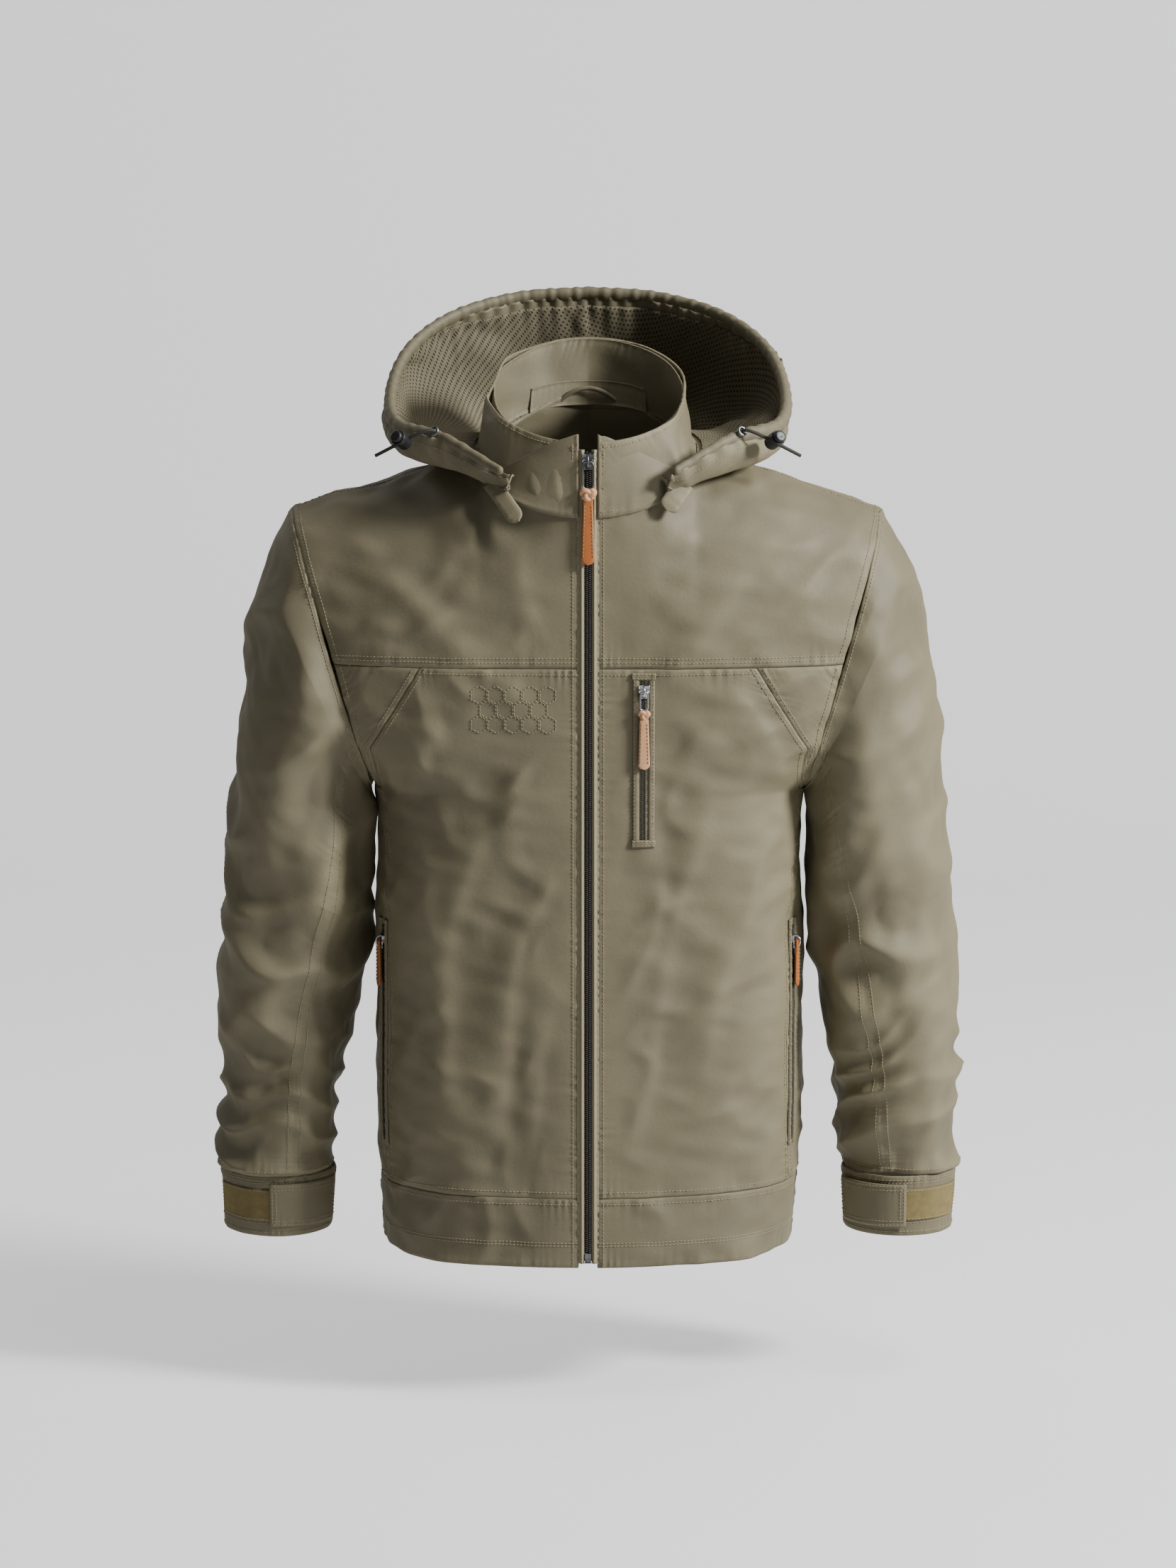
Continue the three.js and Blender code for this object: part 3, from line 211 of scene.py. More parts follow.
def collar(angle, up):
    """A straight line from the neck seam, at up = 0, to an ellipse that tilts to the front, at up = 1."""
    (front_y, front_z), (back_y, back_z) = COLLAR_FRONT, COLLAR_BACK
    y = -(front_y - back_y) / 2 - (front_y + back_y) / 2 * np.cos(angle)
    z = (back_z + front_z) / 2 - (back_z - front_z) / 2 * np.cos(angle)
    high = stack(COLLAR_X * np.sin(angle), y, z)
    return lerp(neck(angle), high, np.asarray(up)[..., None])


# ---------- sleeves, cuffs and hood ----------
PLANE = unit(np.array([TIP[1] - ARMPIT[1], 0, ARMPIT[0] - TIP[0]]))
ARMHOLE = np.array([(ARMPIT[0] + TIP[0]) / 2, 0, (ARMPIT[1] + TIP[1]) / 2])


def armhole(angle):
    """A closed curve in the armhole's plane, whose depth thins as the torso's superellipse does."""
    z = ARMHOLE[2] + (TIP[1] - ARMPIT[1]) / 2 * np.cos(angle)
    side, x = np.where(np.sin(angle) > 0, -1, 1), armhole_x(z)
    thin = np.maximum(0, 1 - (x / half_width(z)) ** ROUNDNESS) ** (1 / ROUNDNESS)
    height = np.maximum(0, z - CHEST)
    shoulder = np.sqrt(np.maximum(0, 1 - (height / (shoulder_z(x) - CHEST)) ** 2))
    centre = np.sqrt(1 - (height / (shoulder_z(0) - CHEST)) ** 2)
    return stack(x, side * depth_of(side, z) * thin * shoulder / centre, z)


def arm_ring(angle, along):
    """An ellipse between the sleeve's top and foot lines, with a depth of its own."""
    top = stack(through(OUTER_X, along), 0, through(OUTER_Z, along))
    foot = stack(through(INNER_X, along), 0, through(INNER_Z, along))
    point = (top + foot) / 2 + (top - foot) / 2 * np.cos(angle)[..., None]
    point[..., 1] = -through(ARM_DEPTH, along) * np.sin(angle)
    return point


def arm(angle, along):
    """An ellipse between the outer and inner edges, eased over the first 8% from the armhole's outline."""
    cap = (armhole(angle) - arm_ring(angle, np.zeros_like(along))) * np.maximum(0, 1 - along / 0.08)[..., None]
    return arm_ring(angle, along) + cap + 0.3 * PLANE


def cuff(angle, down):
    """A circle about CUFF_X that tapers from the top to the foot of the cuff."""
    radius = CUFF_HALF - CUFF_TAPER * down
    return stack(CUFF_X + radius * np.cos(angle), -radius * np.sin(angle), lerp(CUFF_TOP, CUFF_FOOT, down))


def hood_at(share, out):
    """A cubic Bezier from the neck seam to the laid-back rim, kept off the shoulders."""
    f, s = np.abs(share), np.where(share < 0, -1, 1)
    seam = neck(np.pi - f * (np.pi - math.radians(42)))
    away = unit(stack(seam[..., 0], seam[..., 1] + 10, 0))
    seam = seam + 1.1 * away + [0, 0, 1.1]
    seam[..., 0] *= s
    rim = stack(s * through(RIM_X, f), through(RIM_Y, f), through(RIM_Z, f))
    back = np.cos(np.minimum(1, f / 0.6) * np.pi / 2) ** 2
    side = (1 - back) * (1 - f**4)
    first = seam + stack(s * away[..., 0] * 34 * side, away[..., 1] * 34 * side + 27 * back, 4 * side - 129 * back)
    second = rim + stack(s * 22 * side, 87 * back + 4 * side, -206 * back - 42 * side)
    t = np.asarray(out)[..., None]
    p = (1 - t) ** 3 * seam + 3 * (1 - t) ** 2 * t * first + 3 * (1 - t) * t * t * second + t**3 * rim
    x, y, z = p[..., 0].copy(), p[..., 1].copy(), p[..., 2].copy()
    low = z <= shoulder_z(x) + 4
    rise = np.arcsin(np.clip((z - CHEST) / (shoulder_z(x) - CHEST), 0, 1))
    behind = np.maximum(y, upper(1, x, rise)[..., 1] + 4)
    full = upper(-1, x, np.ones_like(x))[..., 1] / math.cos(1)
    slope = np.sqrt(np.maximum(0, 1 - (y / full) ** 2))
    above = np.maximum(z, CHEST + (shoulder_z(x) - CHEST) * slope + 4 * np.clip(4 * out, 0, 1))
    p[..., 1] = np.where(low & (y > 0), behind, y)
    p[..., 2] = np.where(low & (y <= 0), above, z)
    return p


def channel_at(share):
    """The middle line of the elastic channel, carried on from the hood's cloth past its rim."""
    share = np.asarray(share, float)
    rim, under = hood_at(share, np.ones_like(share)), hood_at(share, np.full_like(share, 0.97))
    return rim + 8.3 * unit(rim - under)


# ---------- how cloth hangs ----------
def waves(p, seed, length, count=6, lean=(1, 1, 1)):
    """sum of sin(2 pi d.p / l + 1.2 sin(2 pi e.p / 2.3 l)) over count seeded directions, over sqrt(count)."""
    rng = np.random.default_rng(seed)
    total = np.zeros(p.shape[:-1])
    for _ in range(count):
        d, e = (unit(rng.normal(size=3) * np.array(lean)) for _ in range(2))
        size, phase, other = length * rng.uniform(0.7, 1.4), *rng.uniform(0, 2 * np.pi, 2)
        total += np.sin(2 * np.pi * (p @ d) / size + phase + 1.2 * np.sin(2 * np.pi * (p @ e) / (2.3 * size) + other))
    return total / math.sqrt(count)


def creases(p, seed, length, lean=(1, 1, 1), sharp=0.1):
    """0.7 - sqrt(w^2 + sharp^2): crisp crests where a field of waves crosses zero, faded by a slower field."""
    field = waves(p, seed, length, count=5, lean=lean)
    fade = smooth(0.5 + 0.7 * waves(p, seed + 100, 1.7 * length, count=4))
    return (0.7 - np.sqrt(np.minimum(field**2, 1.2) + sharp**2)) * fade


# Drag lines in the front and back: from x, z to x, z, with a width and a depth.
DRAGS = [(-190, 600, -60, 520, 15, 1.6), (-150, 560, -30, 470, 17, 1.9), (-60, 620, -20, 520, 12, 1.2),
         (-120, 470, -160, 380, 15, 1.8), (-150, 400, -118, 200, 19, 2.2), (-95, 390, -132, 120, 17, 2.2),
         (-38, 340, -86, 110, 16, 2.3), (-18, 250, -58, 85, 12, 1.6), (-165, 330, -150, 140, 12, 1.3),
         (190, 590, 70, 510, 15, 1.7), (150, 620, 50, 500, 16, 1.6), (62, 350, 18, 225, 13, 2.1),
         (96, 410, 38, 180, 17, 2.3), (142, 390, 90, 150, 18, 2.4), (62, 205, 24, 95, 12, 1.6),
         (165, 300, 142, 120, 12, 1.4), (120, 500, 162, 400, 15, 1.8), (26, 440, 14, 300, 10, 1.1)]


def drags(p):
    """sum of depth e^-(d/w)^2 beside each drag line, w on its soft side and 0.6 w on its crisp side."""
    x, z = p[..., 0] * np.where(p[..., 1] < 0, 1, -0.9), p[..., 2]
    total = np.zeros_like(x)
    for x0, z0, x1, z1, wide, deep in DRAGS:
        ahead = np.array([x1 - x0, z1 - z0], float)
        t = ((x - x0) * ahead[0] + (z - z0) * ahead[1]) / (ahead @ ahead)
        beside = ((x - x0) * ahead[1] - (z - z0) * ahead[0]) / np.linalg.norm(ahead)
        beside = beside + (7 * np.sin(np.pi * np.clip(t, 0, 1)) + 5 * np.sin(0.031 * z + x0)) * np.sign(x0)
        reach = np.where(beside > 0, wide, 0.6 * wide)
        total += deep * np.exp(-((beside / reach) ** 2)) * smooth(3 * t + 0.3) * smooth(3 * (1 - t) + 0.3)
    return total


def drape(p, depth):
    """The relief of the body's cloth: long hanging folds, slanting creases and a fine crumple."""
    low = smooth((560 - p[..., 2]) / 320)
    broad = waves(p, 3, 150, lean=(1, 0.7, 0.3)) * lerp(0.7, 1.7, low)
    ridge = creases(p, 11, 190, lean=(1, 0.6, 0.5)) * 2.2 + creases(p, 12, 120, lean=(0.8, 0.5, 0.9)) * 1.5
    small = creases(p, 13, 60, lean=(0.8, 0.5, 1)) * 0.7 + 0.16 * waves(p, 9, 24)
    held = np.where(p[..., 1] < 0, lerp(0.12, 1, smooth((np.abs(p[..., 0]) - 8) / 60)), 1)
    x, y, z = np.abs(p[..., 0]), p[..., 1], p[..., 2]
    hand = np.exp(-(((x - 175) ** 2 + (y + 47) ** 2) / 26**2)) * smooth((z - 60) / 30) * smooth((320 - z) / 30)
    chest = np.exp(-(((p[..., 0] - 47) / 16) ** 2)) * (y < 0) * smooth((z - 330) / 30)
    held = held * (1 - 0.93 * hand) * (1 - 0.85 * chest)
    return depth * held * (0.75 * broad + 0.55 * ridge + 1.25 * small + 0.42 * drags(p) - 0.6)


def fold_depth():
    return bpy.context.scene.jacket_look.fold_depth * 1000


# ---------- making meshes ----------
def make(name, verts, faces, finish, uv=None, marks=None, flat=False):
    """A mesh object from points in millimetres above the hem, and arrays of faces of one size each."""
    mesh = bpy.data.meshes.new(name)
    groups = [f for f in (faces if isinstance(faces, list) else [faces]) if len(f)]
    loops = np.concatenate([f.ravel() for f in groups]).astype(np.int32)
    sizes = np.concatenate([np.full(len(f), f.shape[1]) for f in groups]).astype(np.int32)
    mesh.vertices.add(len(verts))
    mesh.vertices.foreach_set("co", ((verts - HANGER) / 1000).astype(np.float32).ravel())
    mesh.loops.add(len(loops))
    mesh.loops.foreach_set("vertex_index", loops)
    mesh.polygons.add(len(sizes))
    mesh.polygons.foreach_set("loop_start", np.concatenate([[0], np.cumsum(sizes)[:-1]]).astype(np.int32))
    mesh.polygons.foreach_set("use_smooth", np.full(len(sizes), not flat))
    mesh.update(calc_edges=True)
    if uv is not None:
        layer = mesh.uv_layers.new(name="Cloth")
        layer.data.foreach_set("uv", uv[loops].astype(np.float32).ravel())
    for word, values in (marks or {}).items():
        mesh.attributes.new(word, "FLOAT", "POINT").data.foreach_set("value", values.astype(np.float32).ravel())
    mesh.materials.append(finish)
    mesh.validate()
    made = bpy.data.objects.new(name, mesh)
    bpy.context.scene.collection.objects.link(made)
    return made


def outwards(verts, faces):
    """The faces, turned over if the volume that they close comes out negative."""
    a, b, c = (verts[faces[:, i]] for i in range(3))
    d = verts[faces[:, -1]]
    volume = np.einsum("ij,ij->", a, np.cross(b, c)) + np.einsum("ij,ij->", a, np.cross(c, d))
    return faces if volume > 0 else faces[:, ::-1]


def quads(rows, cols, wrap=False):
    """The faces of a grid of points, row by row; a wrapped grid closes each row on itself."""
    i, j = np.meshgrid(np.arange(rows - 1), np.arange(cols if wrap else cols - 1), indexing="ij")
    k = (j + 1) % cols
    return np.stack([i * cols + j, i * cols + k, (i + 1) * cols + k, (i + 1) * cols + j], -1).reshape(-1, 4)


def even(p, cols, dense=False):
    """Each row of points laid out anew at even steps along its own length, closer at the ends if dense."""
    share = dense_ends(cols) if dense else np.linspace(0, 1, cols + 1)
    new = np.empty((p.shape[0], cols + 1, 3))
    for row, line in enumerate(p):
        far = np.concatenate([[0], np.cumsum(np.linalg.norm(np.diff(line, axis=0), axis=1))])
        for axis in range(3):
            new[row, :, axis] = np.interp(share * far[-1], far, line[:, axis])
    return new


def along_rows(p):
    """The distance along each row to each point, as the sum of the steps before it."""
    step = np.linalg.norm(np.diff(p, axis=1), axis=-1)
    return np.concatenate([np.zeros((p.shape[0], 1)), np.cumsum(step, axis=1)], axis=1)


def normals(p, sign, wrap=False):
    """The unit cross product of the two differences of a grid, times sign."""
    if wrap:
        du = np.roll(p, -1, axis=1) - np.roll(p, 1, axis=1)
    else:
        du = np.gradient(p, axis=1)
    return sign * unit(np.cross(du, np.gradient(p, axis=0)))


def seam_relief(near, along, phase, pucker):
    """Beside a seam the cloth dips, stands up over its allowance, and puckers across: sin(2 pi s / 8) / e^(d/11)."""
    slow = np.sin(2 * np.pi * along / 37 + phase)
    beat = np.sin(2 * np.pi * along / 7.6 + 2.2 * slow + 0.9 * np.sin(along / 3.1 + phase))
    strong = 0.55 + 0.45 * np.sin(2 * np.pi * along / 61 + 2.1 * phase)
    ripple = beat * strong * np.exp(-near / 8) * (1 - np.exp(-((near / 1.2) ** 2)))
    return -0.55 * np.exp(-((near / 0.9) ** 2)) + 0.12 * smooth(1 - np.abs(near - 3.5) / 3) + pucker * ripple


CUTS = {}  # each cloth piece's flat width, length and area


class Cloth:
    """A piece of cloth laid out as a grid, with its folds, its seams' relief and lines for its stitching."""

    def __init__(self, p, seams="", sign=1, wrap=False, folds=1.0, lift=0.0, pucker=1.0, extra=0.0):
        look = bpy.context.scene.jacket_look
        self.wrap, self.sign, self.flat = wrap, sign, p
        ring = np.concatenate([p, p[:, :1]], axis=1) if wrap else p
        self.u = along_rows(ring)[:, : p.shape[1]]
        self.v = along_rows(ring.swapaxes(0, 1)).T[:, : p.shape[1]]
        near = {"L": self.u, "R": self.u[:, -1:] - self.u, "B": self.v, "T": self.v[-1:] - self.v}
        relief, self.wear = np.zeros(p.shape[:-1]), np.zeros(p.shape[:-1])
        for number, border in enumerate(seams):
            along = self.v if border in "LR" else self.u
            relief += seam_relief(near[border], along, 1.3 * number + sign, pucker * look.pucker_depth * 1000)
            self.wear = np.maximum(self.wear, np.exp(-near[border] / 9))
        n = normals(p, sign, wrap)
        self.relief = relief + lift + extra
        if folds:
            self.relief = self.relief + folds * drape(p, look.fold_depth * 1000)
        self.near, self.p = near, p + n * self.relief[..., None]
        self.n = normals(self.p, sign, wrap)

    def build(self, name, finish, thick=SHELL):
        """Both faces of the cloth and the wall round its edge, closed."""
        rows, cols = self.flat.shape[:2]
        count, grid = rows * cols, quads(rows, cols, self.wrap)
        verts = np.concatenate([self.p.reshape(-1, 3), (self.p - thick * self.n).reshape(-1, 3)])
        index = np.arange(count).reshape(rows, cols)
        if self.wrap:
            ring = np.concatenate([index, index[:, :1]], axis=1)
            rims = [ring[0], ring[-1][::-1]]
        else:
            rims = [np.concatenate([index[0, :-1], index[:-1, -1], index[-1, :0:-1], index[:0:-1, 0], index[0, :1]])]
        walls = [np.stack([r[1:], r[:-1], r[:-1] + count, r[1:] + count], -1) for r in rims]
        faces = outwards(verts, np.concatenate([grid, grid[:, ::-1] + count, *walls]))
        uv = np.stack([self.u - self.u[:, -1:] / 2, self.v], -1).reshape(-1, 2) / 1000
        a, b = self.flat[1:] - self.flat[:-1], self.flat[:, 1:] - self.flat[:, :-1]
        area = np.linalg.norm(np.cross(a[:, :-1], b[:-1]), axis=-1).sum() / 1e6
        cut = (self.u[:, -1].max() / 1000, self.v[-1].max() / 1000)
        CUTS[name] = (cut, min(area, cut[0] * cut[1]))
        # relief also goes to the finish, which uses it to paint shade into low cloth and a highlight onto raised
        # cloth
        marks = {"wear": np.tile(self.wear.ravel(), 2), "relief": np.tile(self.relief.ravel(), 2)}
        return make(name, verts, faces, finish, np.tile(uv, (2, 1)), marks)

    def line(self, border, far, skip=0.0):
        """The points and normals of a stitching line that runs beside a border, far millimetres from it."""
        down = border in "LR"
        near, grid, n = (a if down else a.swapaxes(0, 1) for a in (self.near[border], self.p, self.n))
        turned = near[:, 0].mean() > near[:, -1].mean()
        rows = []
        for d, row, normal in zip(near, grid, n):
            order = slice(None, None, -1) if turned else slice(None)
            both = np.concatenate([row, normal], axis=1)
            rows.append([np.interp(far, d[order], both[order, k]) for k in range(6)])
        rows = np.array(rows)
        if skip:
            s = np.concatenate([[0], np.cumsum(np.linalg.norm(np.diff(rows[:, :3], axis=0), axis=1))])
            rows = rows[(s > skip) & (s < s[-1] - skip)]
        return rows


def stitches(name, lines, finish):
    """A thread drawn in and out along each line of points and normals: short arched stitches of six-sided section."""
    look = bpy.context.scene.jacket_look
    pitch, long, thick = look.stitch_pitch * 1000, look.stitch_pitch * 720, look.thread * 500
    at = np.array([-0.5, -0.3, 0, 0.3, 0.5]) * long
    high = np.array([-0.5, 0.55, 0.8, 0.55, -0.5]) * thick
    turn = np.arange(6) * np.pi / 3
    template = np.concatenate([stack(at[:, None], thick * np.cos(turn), high[:, None] + 0.7 * thick * np.sin(turn))])
    template = template.reshape(-1, 3)
    shape = np.concatenate([quads(5, 6, wrap=True)])
    ends = np.array([[0, 1, 2, 3, 4, 5], [29, 28, 27, 26, 25, 24]])
    verts, faces, caps, total = [], [], [], 0
    for line in lines:
        if len(line) < 3:
            continue
        p, n = line[:, :3], unit(line[:, 3:])
        s = np.concatenate([[0], np.cumsum(np.linalg.norm(np.diff(p, axis=0), axis=1))])
        places = np.arange(0.6 * pitch, s[-1] - 0.4 * pitch, pitch)
        if not len(places):
            continue
        centre = np.stack([np.interp(places, s, p[:, k]) for k in range(3)], -1)
        up = unit(np.stack([np.interp(places, s, n[:, k]) for k in range(3)], -1))
        ahead = np.stack([np.interp(places + 0.8, s, p[:, k]) for k in range(3)], -1)
        t = unit(ahead - centre + 1e-9)
        side = unit(np.cross(up, t))
        x, y, z = (template[:, k][None, :, None] for k in range(3))
        block = centre[:, None] + x * t[:, None] + y * side[:, None] + z * up[:, None]
        offset = total + np.arange(len(places))[:, None, None] * len(template)
        verts.append(block.reshape(-1, 3))
        faces.append((shape[None] + offset).reshape(-1, 4))
        caps.append((ends[None] + offset).reshape(-1, 6))
        total += len(places) * len(template)
    return make(name, np.concatenate(verts), [np.concatenate(faces), np.concatenate(caps)], finish)


def lathe(profile, matrix, segments=48):
    """A turned piece: (radius, height) corners, closed on themselves or on the axis, about the matrix's Z axis."""
    r, z = np.array(profile, float).T
    turn = np.arange(segments) * 2 * np.pi / segments
    ring = stack(r[:, None] * np.cos(turn), r[:, None] * np.sin(turn), z[:, None])
    rows = len(profile)
    faces = quads(rows, segments, wrap=True)
    return placed(ring.reshape(-1, 3), matrix), faces


def placed(points, matrix):
    """Points turned and shifted by a 4 x 4 matrix."""
    m = np.array(matrix)
    return points @ m[:3, :3].T + m[:3, 3]


def frame_at(origin, x, z):
    """A matrix at a point whose X axis lies along x and whose Z axis leans towards z."""
    x = unit(np.array(x, float))
    z = unit(np.array(z, float) - np.dot(z, x) * x)
    m = np.eye(4)
    m[:3, 0], m[:3, 1], m[:3, 2], m[:3, 3] = x, np.cross(z, x), z, origin
    return m


def pill(size, radius, matrix, cells=4):
    """A box with rounded edges: points of a cubic grid held inside the box, pushed out by the radius."""
    half = np.array(size, float) / 2
    radius = min(radius, half.min() * 0.999)
    curve = np.tan(np.linspace(-np.pi / 4, np.pi / 4, cells + 1))
    t = np.concatenate([-2 + curve, 2 + curve])
    verts, faces, total = [], [], 0
    for axis in range(3):
        for sign in (-1, 1):
            a, b = np.meshgrid(t, t, indexing="ij")
            face = np.zeros((*a.shape, 3))
            face[..., axis], face[..., axis - 2], face[..., axis - 1] = 3 * sign, a, b
            verts.append(face.reshape(-1, 3))
            quad = quads(len(t), len(t))
            faces.append((quad if sign < 0 else quad[:, ::-1]) + total)
            total += a.size
    verts = np.concatenate(verts)
    core = np.sign(verts) * (half - radius)
    verts = core + radius * unit(verts - 2 * np.sign(verts))
    keys, inverse = np.unique(np.round(verts, 6), axis=0, return_inverse=True)
    return placed(keys, matrix), inverse.ravel()[np.concatenate(faces)]


def sweep(path, radius, section=12, ends=True, closed_path=False, squash=1.0):
    """A round or flattened tube along a path, with a radius per point and domed ends."""
    path = np.asarray(path, float)
    radius = np.broadcast_to(radius, len(path)).astype(float)
    if closed_path:
        t = unit(np.roll(path, -1, axis=0) - np.roll(path, 1, axis=0))
    else:
        t = unit(np.gradient(path, axis=0))
    side = [unit(np.cross(t[0], [0.13, 0.97, 0.21]))]
    for k in range(1, len(path)):
        side.append(unit(side[-1] - np.dot(side[-1], t[k]) * t[k]))
    side = np.array(side)
    up = np.cross(t, side)
    if ends and not closed_path:
        dome = np.linspace(0, np.pi / 2, 5)[1:]
        def cap(k, way):
            extra = [path[k] + way * t[k] * radius[k] * math.sin(a) for a in dome]
            return np.array(extra), radius[k] * np.maximum(np.cos(dome), 0.02)
        first, small = cap(0, -1)
        last, less = cap(-1, 1)
        path = np.concatenate([first[::-1], path, last])
        radius = np.concatenate([small[::-1], radius, less])
        side = np.concatenate([np.repeat(side[:1], 4, 0), side, np.repeat(side[-1:], 4, 0)])
        up = np.concatenate([np.repeat(up[:1], 4, 0), up, np.repeat(up[-1:], 4, 0)])
    turn = np.arange(section) * 2 * np.pi / section
    ring = np.cos(turn)[None, :, None] * side[:, None] + squash * np.sin(turn)[None, :, None] * up[:, None]
    points = path[:, None] + radius[:, None, None] * ring
    rows = len(path)
    if closed_path:
        grid = quads(rows + 1, section, wrap=True) % (rows * section)
        return points.reshape(-1, 3), grid
    verts = np.concatenate([points.reshape(-1, 3), path[:1], path[-1:]])
    k = np.arange(section)
    nxt, base, tip = (k + 1) % section, (rows - 1) * section, rows * section
    caps = np.concatenate([np.stack([nxt, k, k * 0 + tip], -1),
                           np.stack([base + k, base + nxt, k * 0 + tip + 1], -1)])
    return verts, [quads(rows, section, wrap=True), caps]


def merged(*shells):
    """Several closed shells as one array of points and lists of faces, each shell turned the right way out."""
    verts, faces, total = [], {}, 0
    for v, f in shells:
        groups = [g for g in (f if isinstance(f, list) else [f]) if len(g)]
        whole = outwards(v, groups[0])
        flip = whole is not groups[0]
        for g in groups:
            faces.setdefault(g.shape[1], []).append((g[:, ::-1] if flip else g) + total)
        verts.append(v)
        total += len(v)
    return np.concatenate(verts), [np.concatenate(g) for g in faces.values()]


# ---------- materials ----------
def node(tree, kind, sockets=(), **settings):
    """A shader node with its settings, and its sockets set to values or linked from other nodes' outputs."""
    made = tree.nodes.new("ShaderNode" + kind)
    for word, value in settings.items():
        setattr(made, word, value)
    for word, value in dict(sockets).items():
        if isinstance(value, bpy.types.NodeSocket):
            tree.links.new(value, made.inputs[word])
        else:
            made.inputs[word].default_value = value
    return made


def surface(name, colour, rough, metal=0.0, sheen=0.0, coat=0.0):
    """A material with its constants on its own shader."""
    made = bpy.data.materials.new(name)
    made.use_nodes = True
    made.diffuse_color = (*colour, 1)
    shader = made.node_tree.nodes["Principled BSDF"]
    for word, value in (("Base Color", (*colour, 1)), ("Roughness", rough), ("Metallic", metal),
                        ("Sheen Weight", sheen), ("Coat Weight", coat), ("Sheen Roughness", 0.4)):
        shader.inputs[word].default_value = value
    shader.inputs["Sheen Tint"].default_value = (*(min(1, 2.2 * c) for c in colour), 1)
    return made, made.node_tree, shader


def scaled(tree, value, low, high, start=0.0, end=1.0):
    """A value mapped in a line from start..end to low..high."""
    return node(tree, "MapRange", {"Value": value, "From Min": start, "From Max": end,
                                   "To Min": low, "To Max": high}).outputs["Result"]


def tinted(tree, colour, *shares):
    """The colour times each share, as a socket."""
    out = None
    for share in shares:
        first = (*colour, 1) if out is None else out
        out = node(tree, "VectorMath", {0: first[:3] if out is None else out, 1: share},
                   operation="MULTIPLY").outputs["Vector"]
    return out


def cloth_finish(name, colour, weave=0.9, sheen=0.16, rough=0.6, seams=0.25, twill=0.0):
    """Woven cloth: crossing threads as a bump, a heathered and slowly varying colour, and pale worn seams."""
    made, tree, shader = surface(name, colour, rough, sheen=sheen)
    where = node(tree, "TexCoord").outputs
    millimetres = node(tree, "Mapping", {"Vector": where["UV"], "Scale": (1000, 1000, 1000),
                                         "Rotation": (0, 0, twill)}).outputs["Vector"]
    threads = [node(tree, "TexWave", {"Vector": millimetres, "Scale": 0.314 / weave, "Distortion": 0.6},
                    bands_direction=way).outputs["Fac"] for way in "XY"]
    woven = node(tree, "Math", {0: threads[0], 1: threads[1]}, operation="MAXIMUM").outputs["Value"]
    heather = node(tree, "TexNoise", {"Vector": millimetres, "Scale": 0.55, "Detail": 3.0}).outputs["Fac"]
    slow = node(tree, "TexNoise", {"Vector": where["Object"], "Scale": 7.0, "Detail": 4.0}).outputs["Fac"]
    wear = node(tree, "Attribute", attribute_name="wear").outputs["Fac"]
    relief = node(tree, "Attribute", attribute_name="relief").outputs["Fac"]
    rubbed = node(tree, "Math", {0: wear, 1: scaled(tree, heather, 0.3, 1.0)}, operation="MULTIPLY").outputs["Value"]
    # painted shade and highlight: the relief attribute darkens fold valleys, seam dips and set-back facings to 0.9 of
    # the colour and lightens raised folds to 1.07
    mixed = tinted(tree, colour, scaled(tree, heather, 0.9, 1.1), scaled(tree, slow, 0.88, 1.12),
                   scaled(tree, rubbed, 1.0, 1.0 + seams), scaled(tree, relief, 0.9, 1.07, -2.5, 2.5),
                   scaled(tree, woven, 0.9, 1.04))
    tree.links.new(mixed, shader.inputs["Base Color"])
    tree.links.new(scaled(tree, heather, rough - 0.06, rough + 0.08), shader.inputs["Roughness"])
    fine = node(tree, "Bump", {"Height": woven, "Strength": 0.35, "Distance": 0.00012})
    crumple = node(tree, "TexNoise", {"Vector": where["Object"], "Scale": 260.0, "Detail": 5.0}).outputs["Fac"]
    coarse = node(tree, "Bump", {"Height": crumple, "Strength": 0.4, "Distance": 0.0004,
                                 "Normal": fine.outputs["Normal"]})
    tree.links.new(coarse.outputs["Normal"], shader.inputs["Normal"])
    return made


def mesh_finish(name, colour, pitch=4.0):
    """Knitted mesh: rows of small holes, drawn dark and sunk, on a slant."""
    made, tree, shader = surface(name, colour, 0.8, sheen=0.2)
    where = node(tree, "TexCoord").outputs
    grid = node(tree, "Mapping", {"Vector": where["UV"], "Scale": (1000 / pitch, 1000 / pitch, 0),
                                  "Rotation": (0, 0, math.radians(27))}).outputs["Vector"]
    hole = node(tree, "TexVoronoi", {"Vector": grid, "Scale": 1.0, "Randomness": 0.0},
                voronoi_dimensions="2D").outputs["Distance"]
    solid = node(tree, "MapRange", {"Value": hole, "From Min": 0.2, "From Max": 0.28}).outputs["Result"]
    slow = node(tree, "TexNoise", {"Vector": where["Object"], "Scale": 30.0, "Detail": 4.0}).outputs["Fac"]
    # painted shade: each hole is drawn at a tenth of the colour, as the shade seen through it
    mixed = tinted(tree, colour, scaled(tree, solid, 0.1, 1.0), scaled(tree, slow, 0.85, 1.15))
    tree.links.new(mixed, shader.inputs["Base Color"])
    bump = node(tree, "Bump", {"Height": solid, "Strength": 0.8, "Distance": 0.0005})
    tree.links.new(bump.outputs["Normal"], shader.inputs["Normal"])
    return made


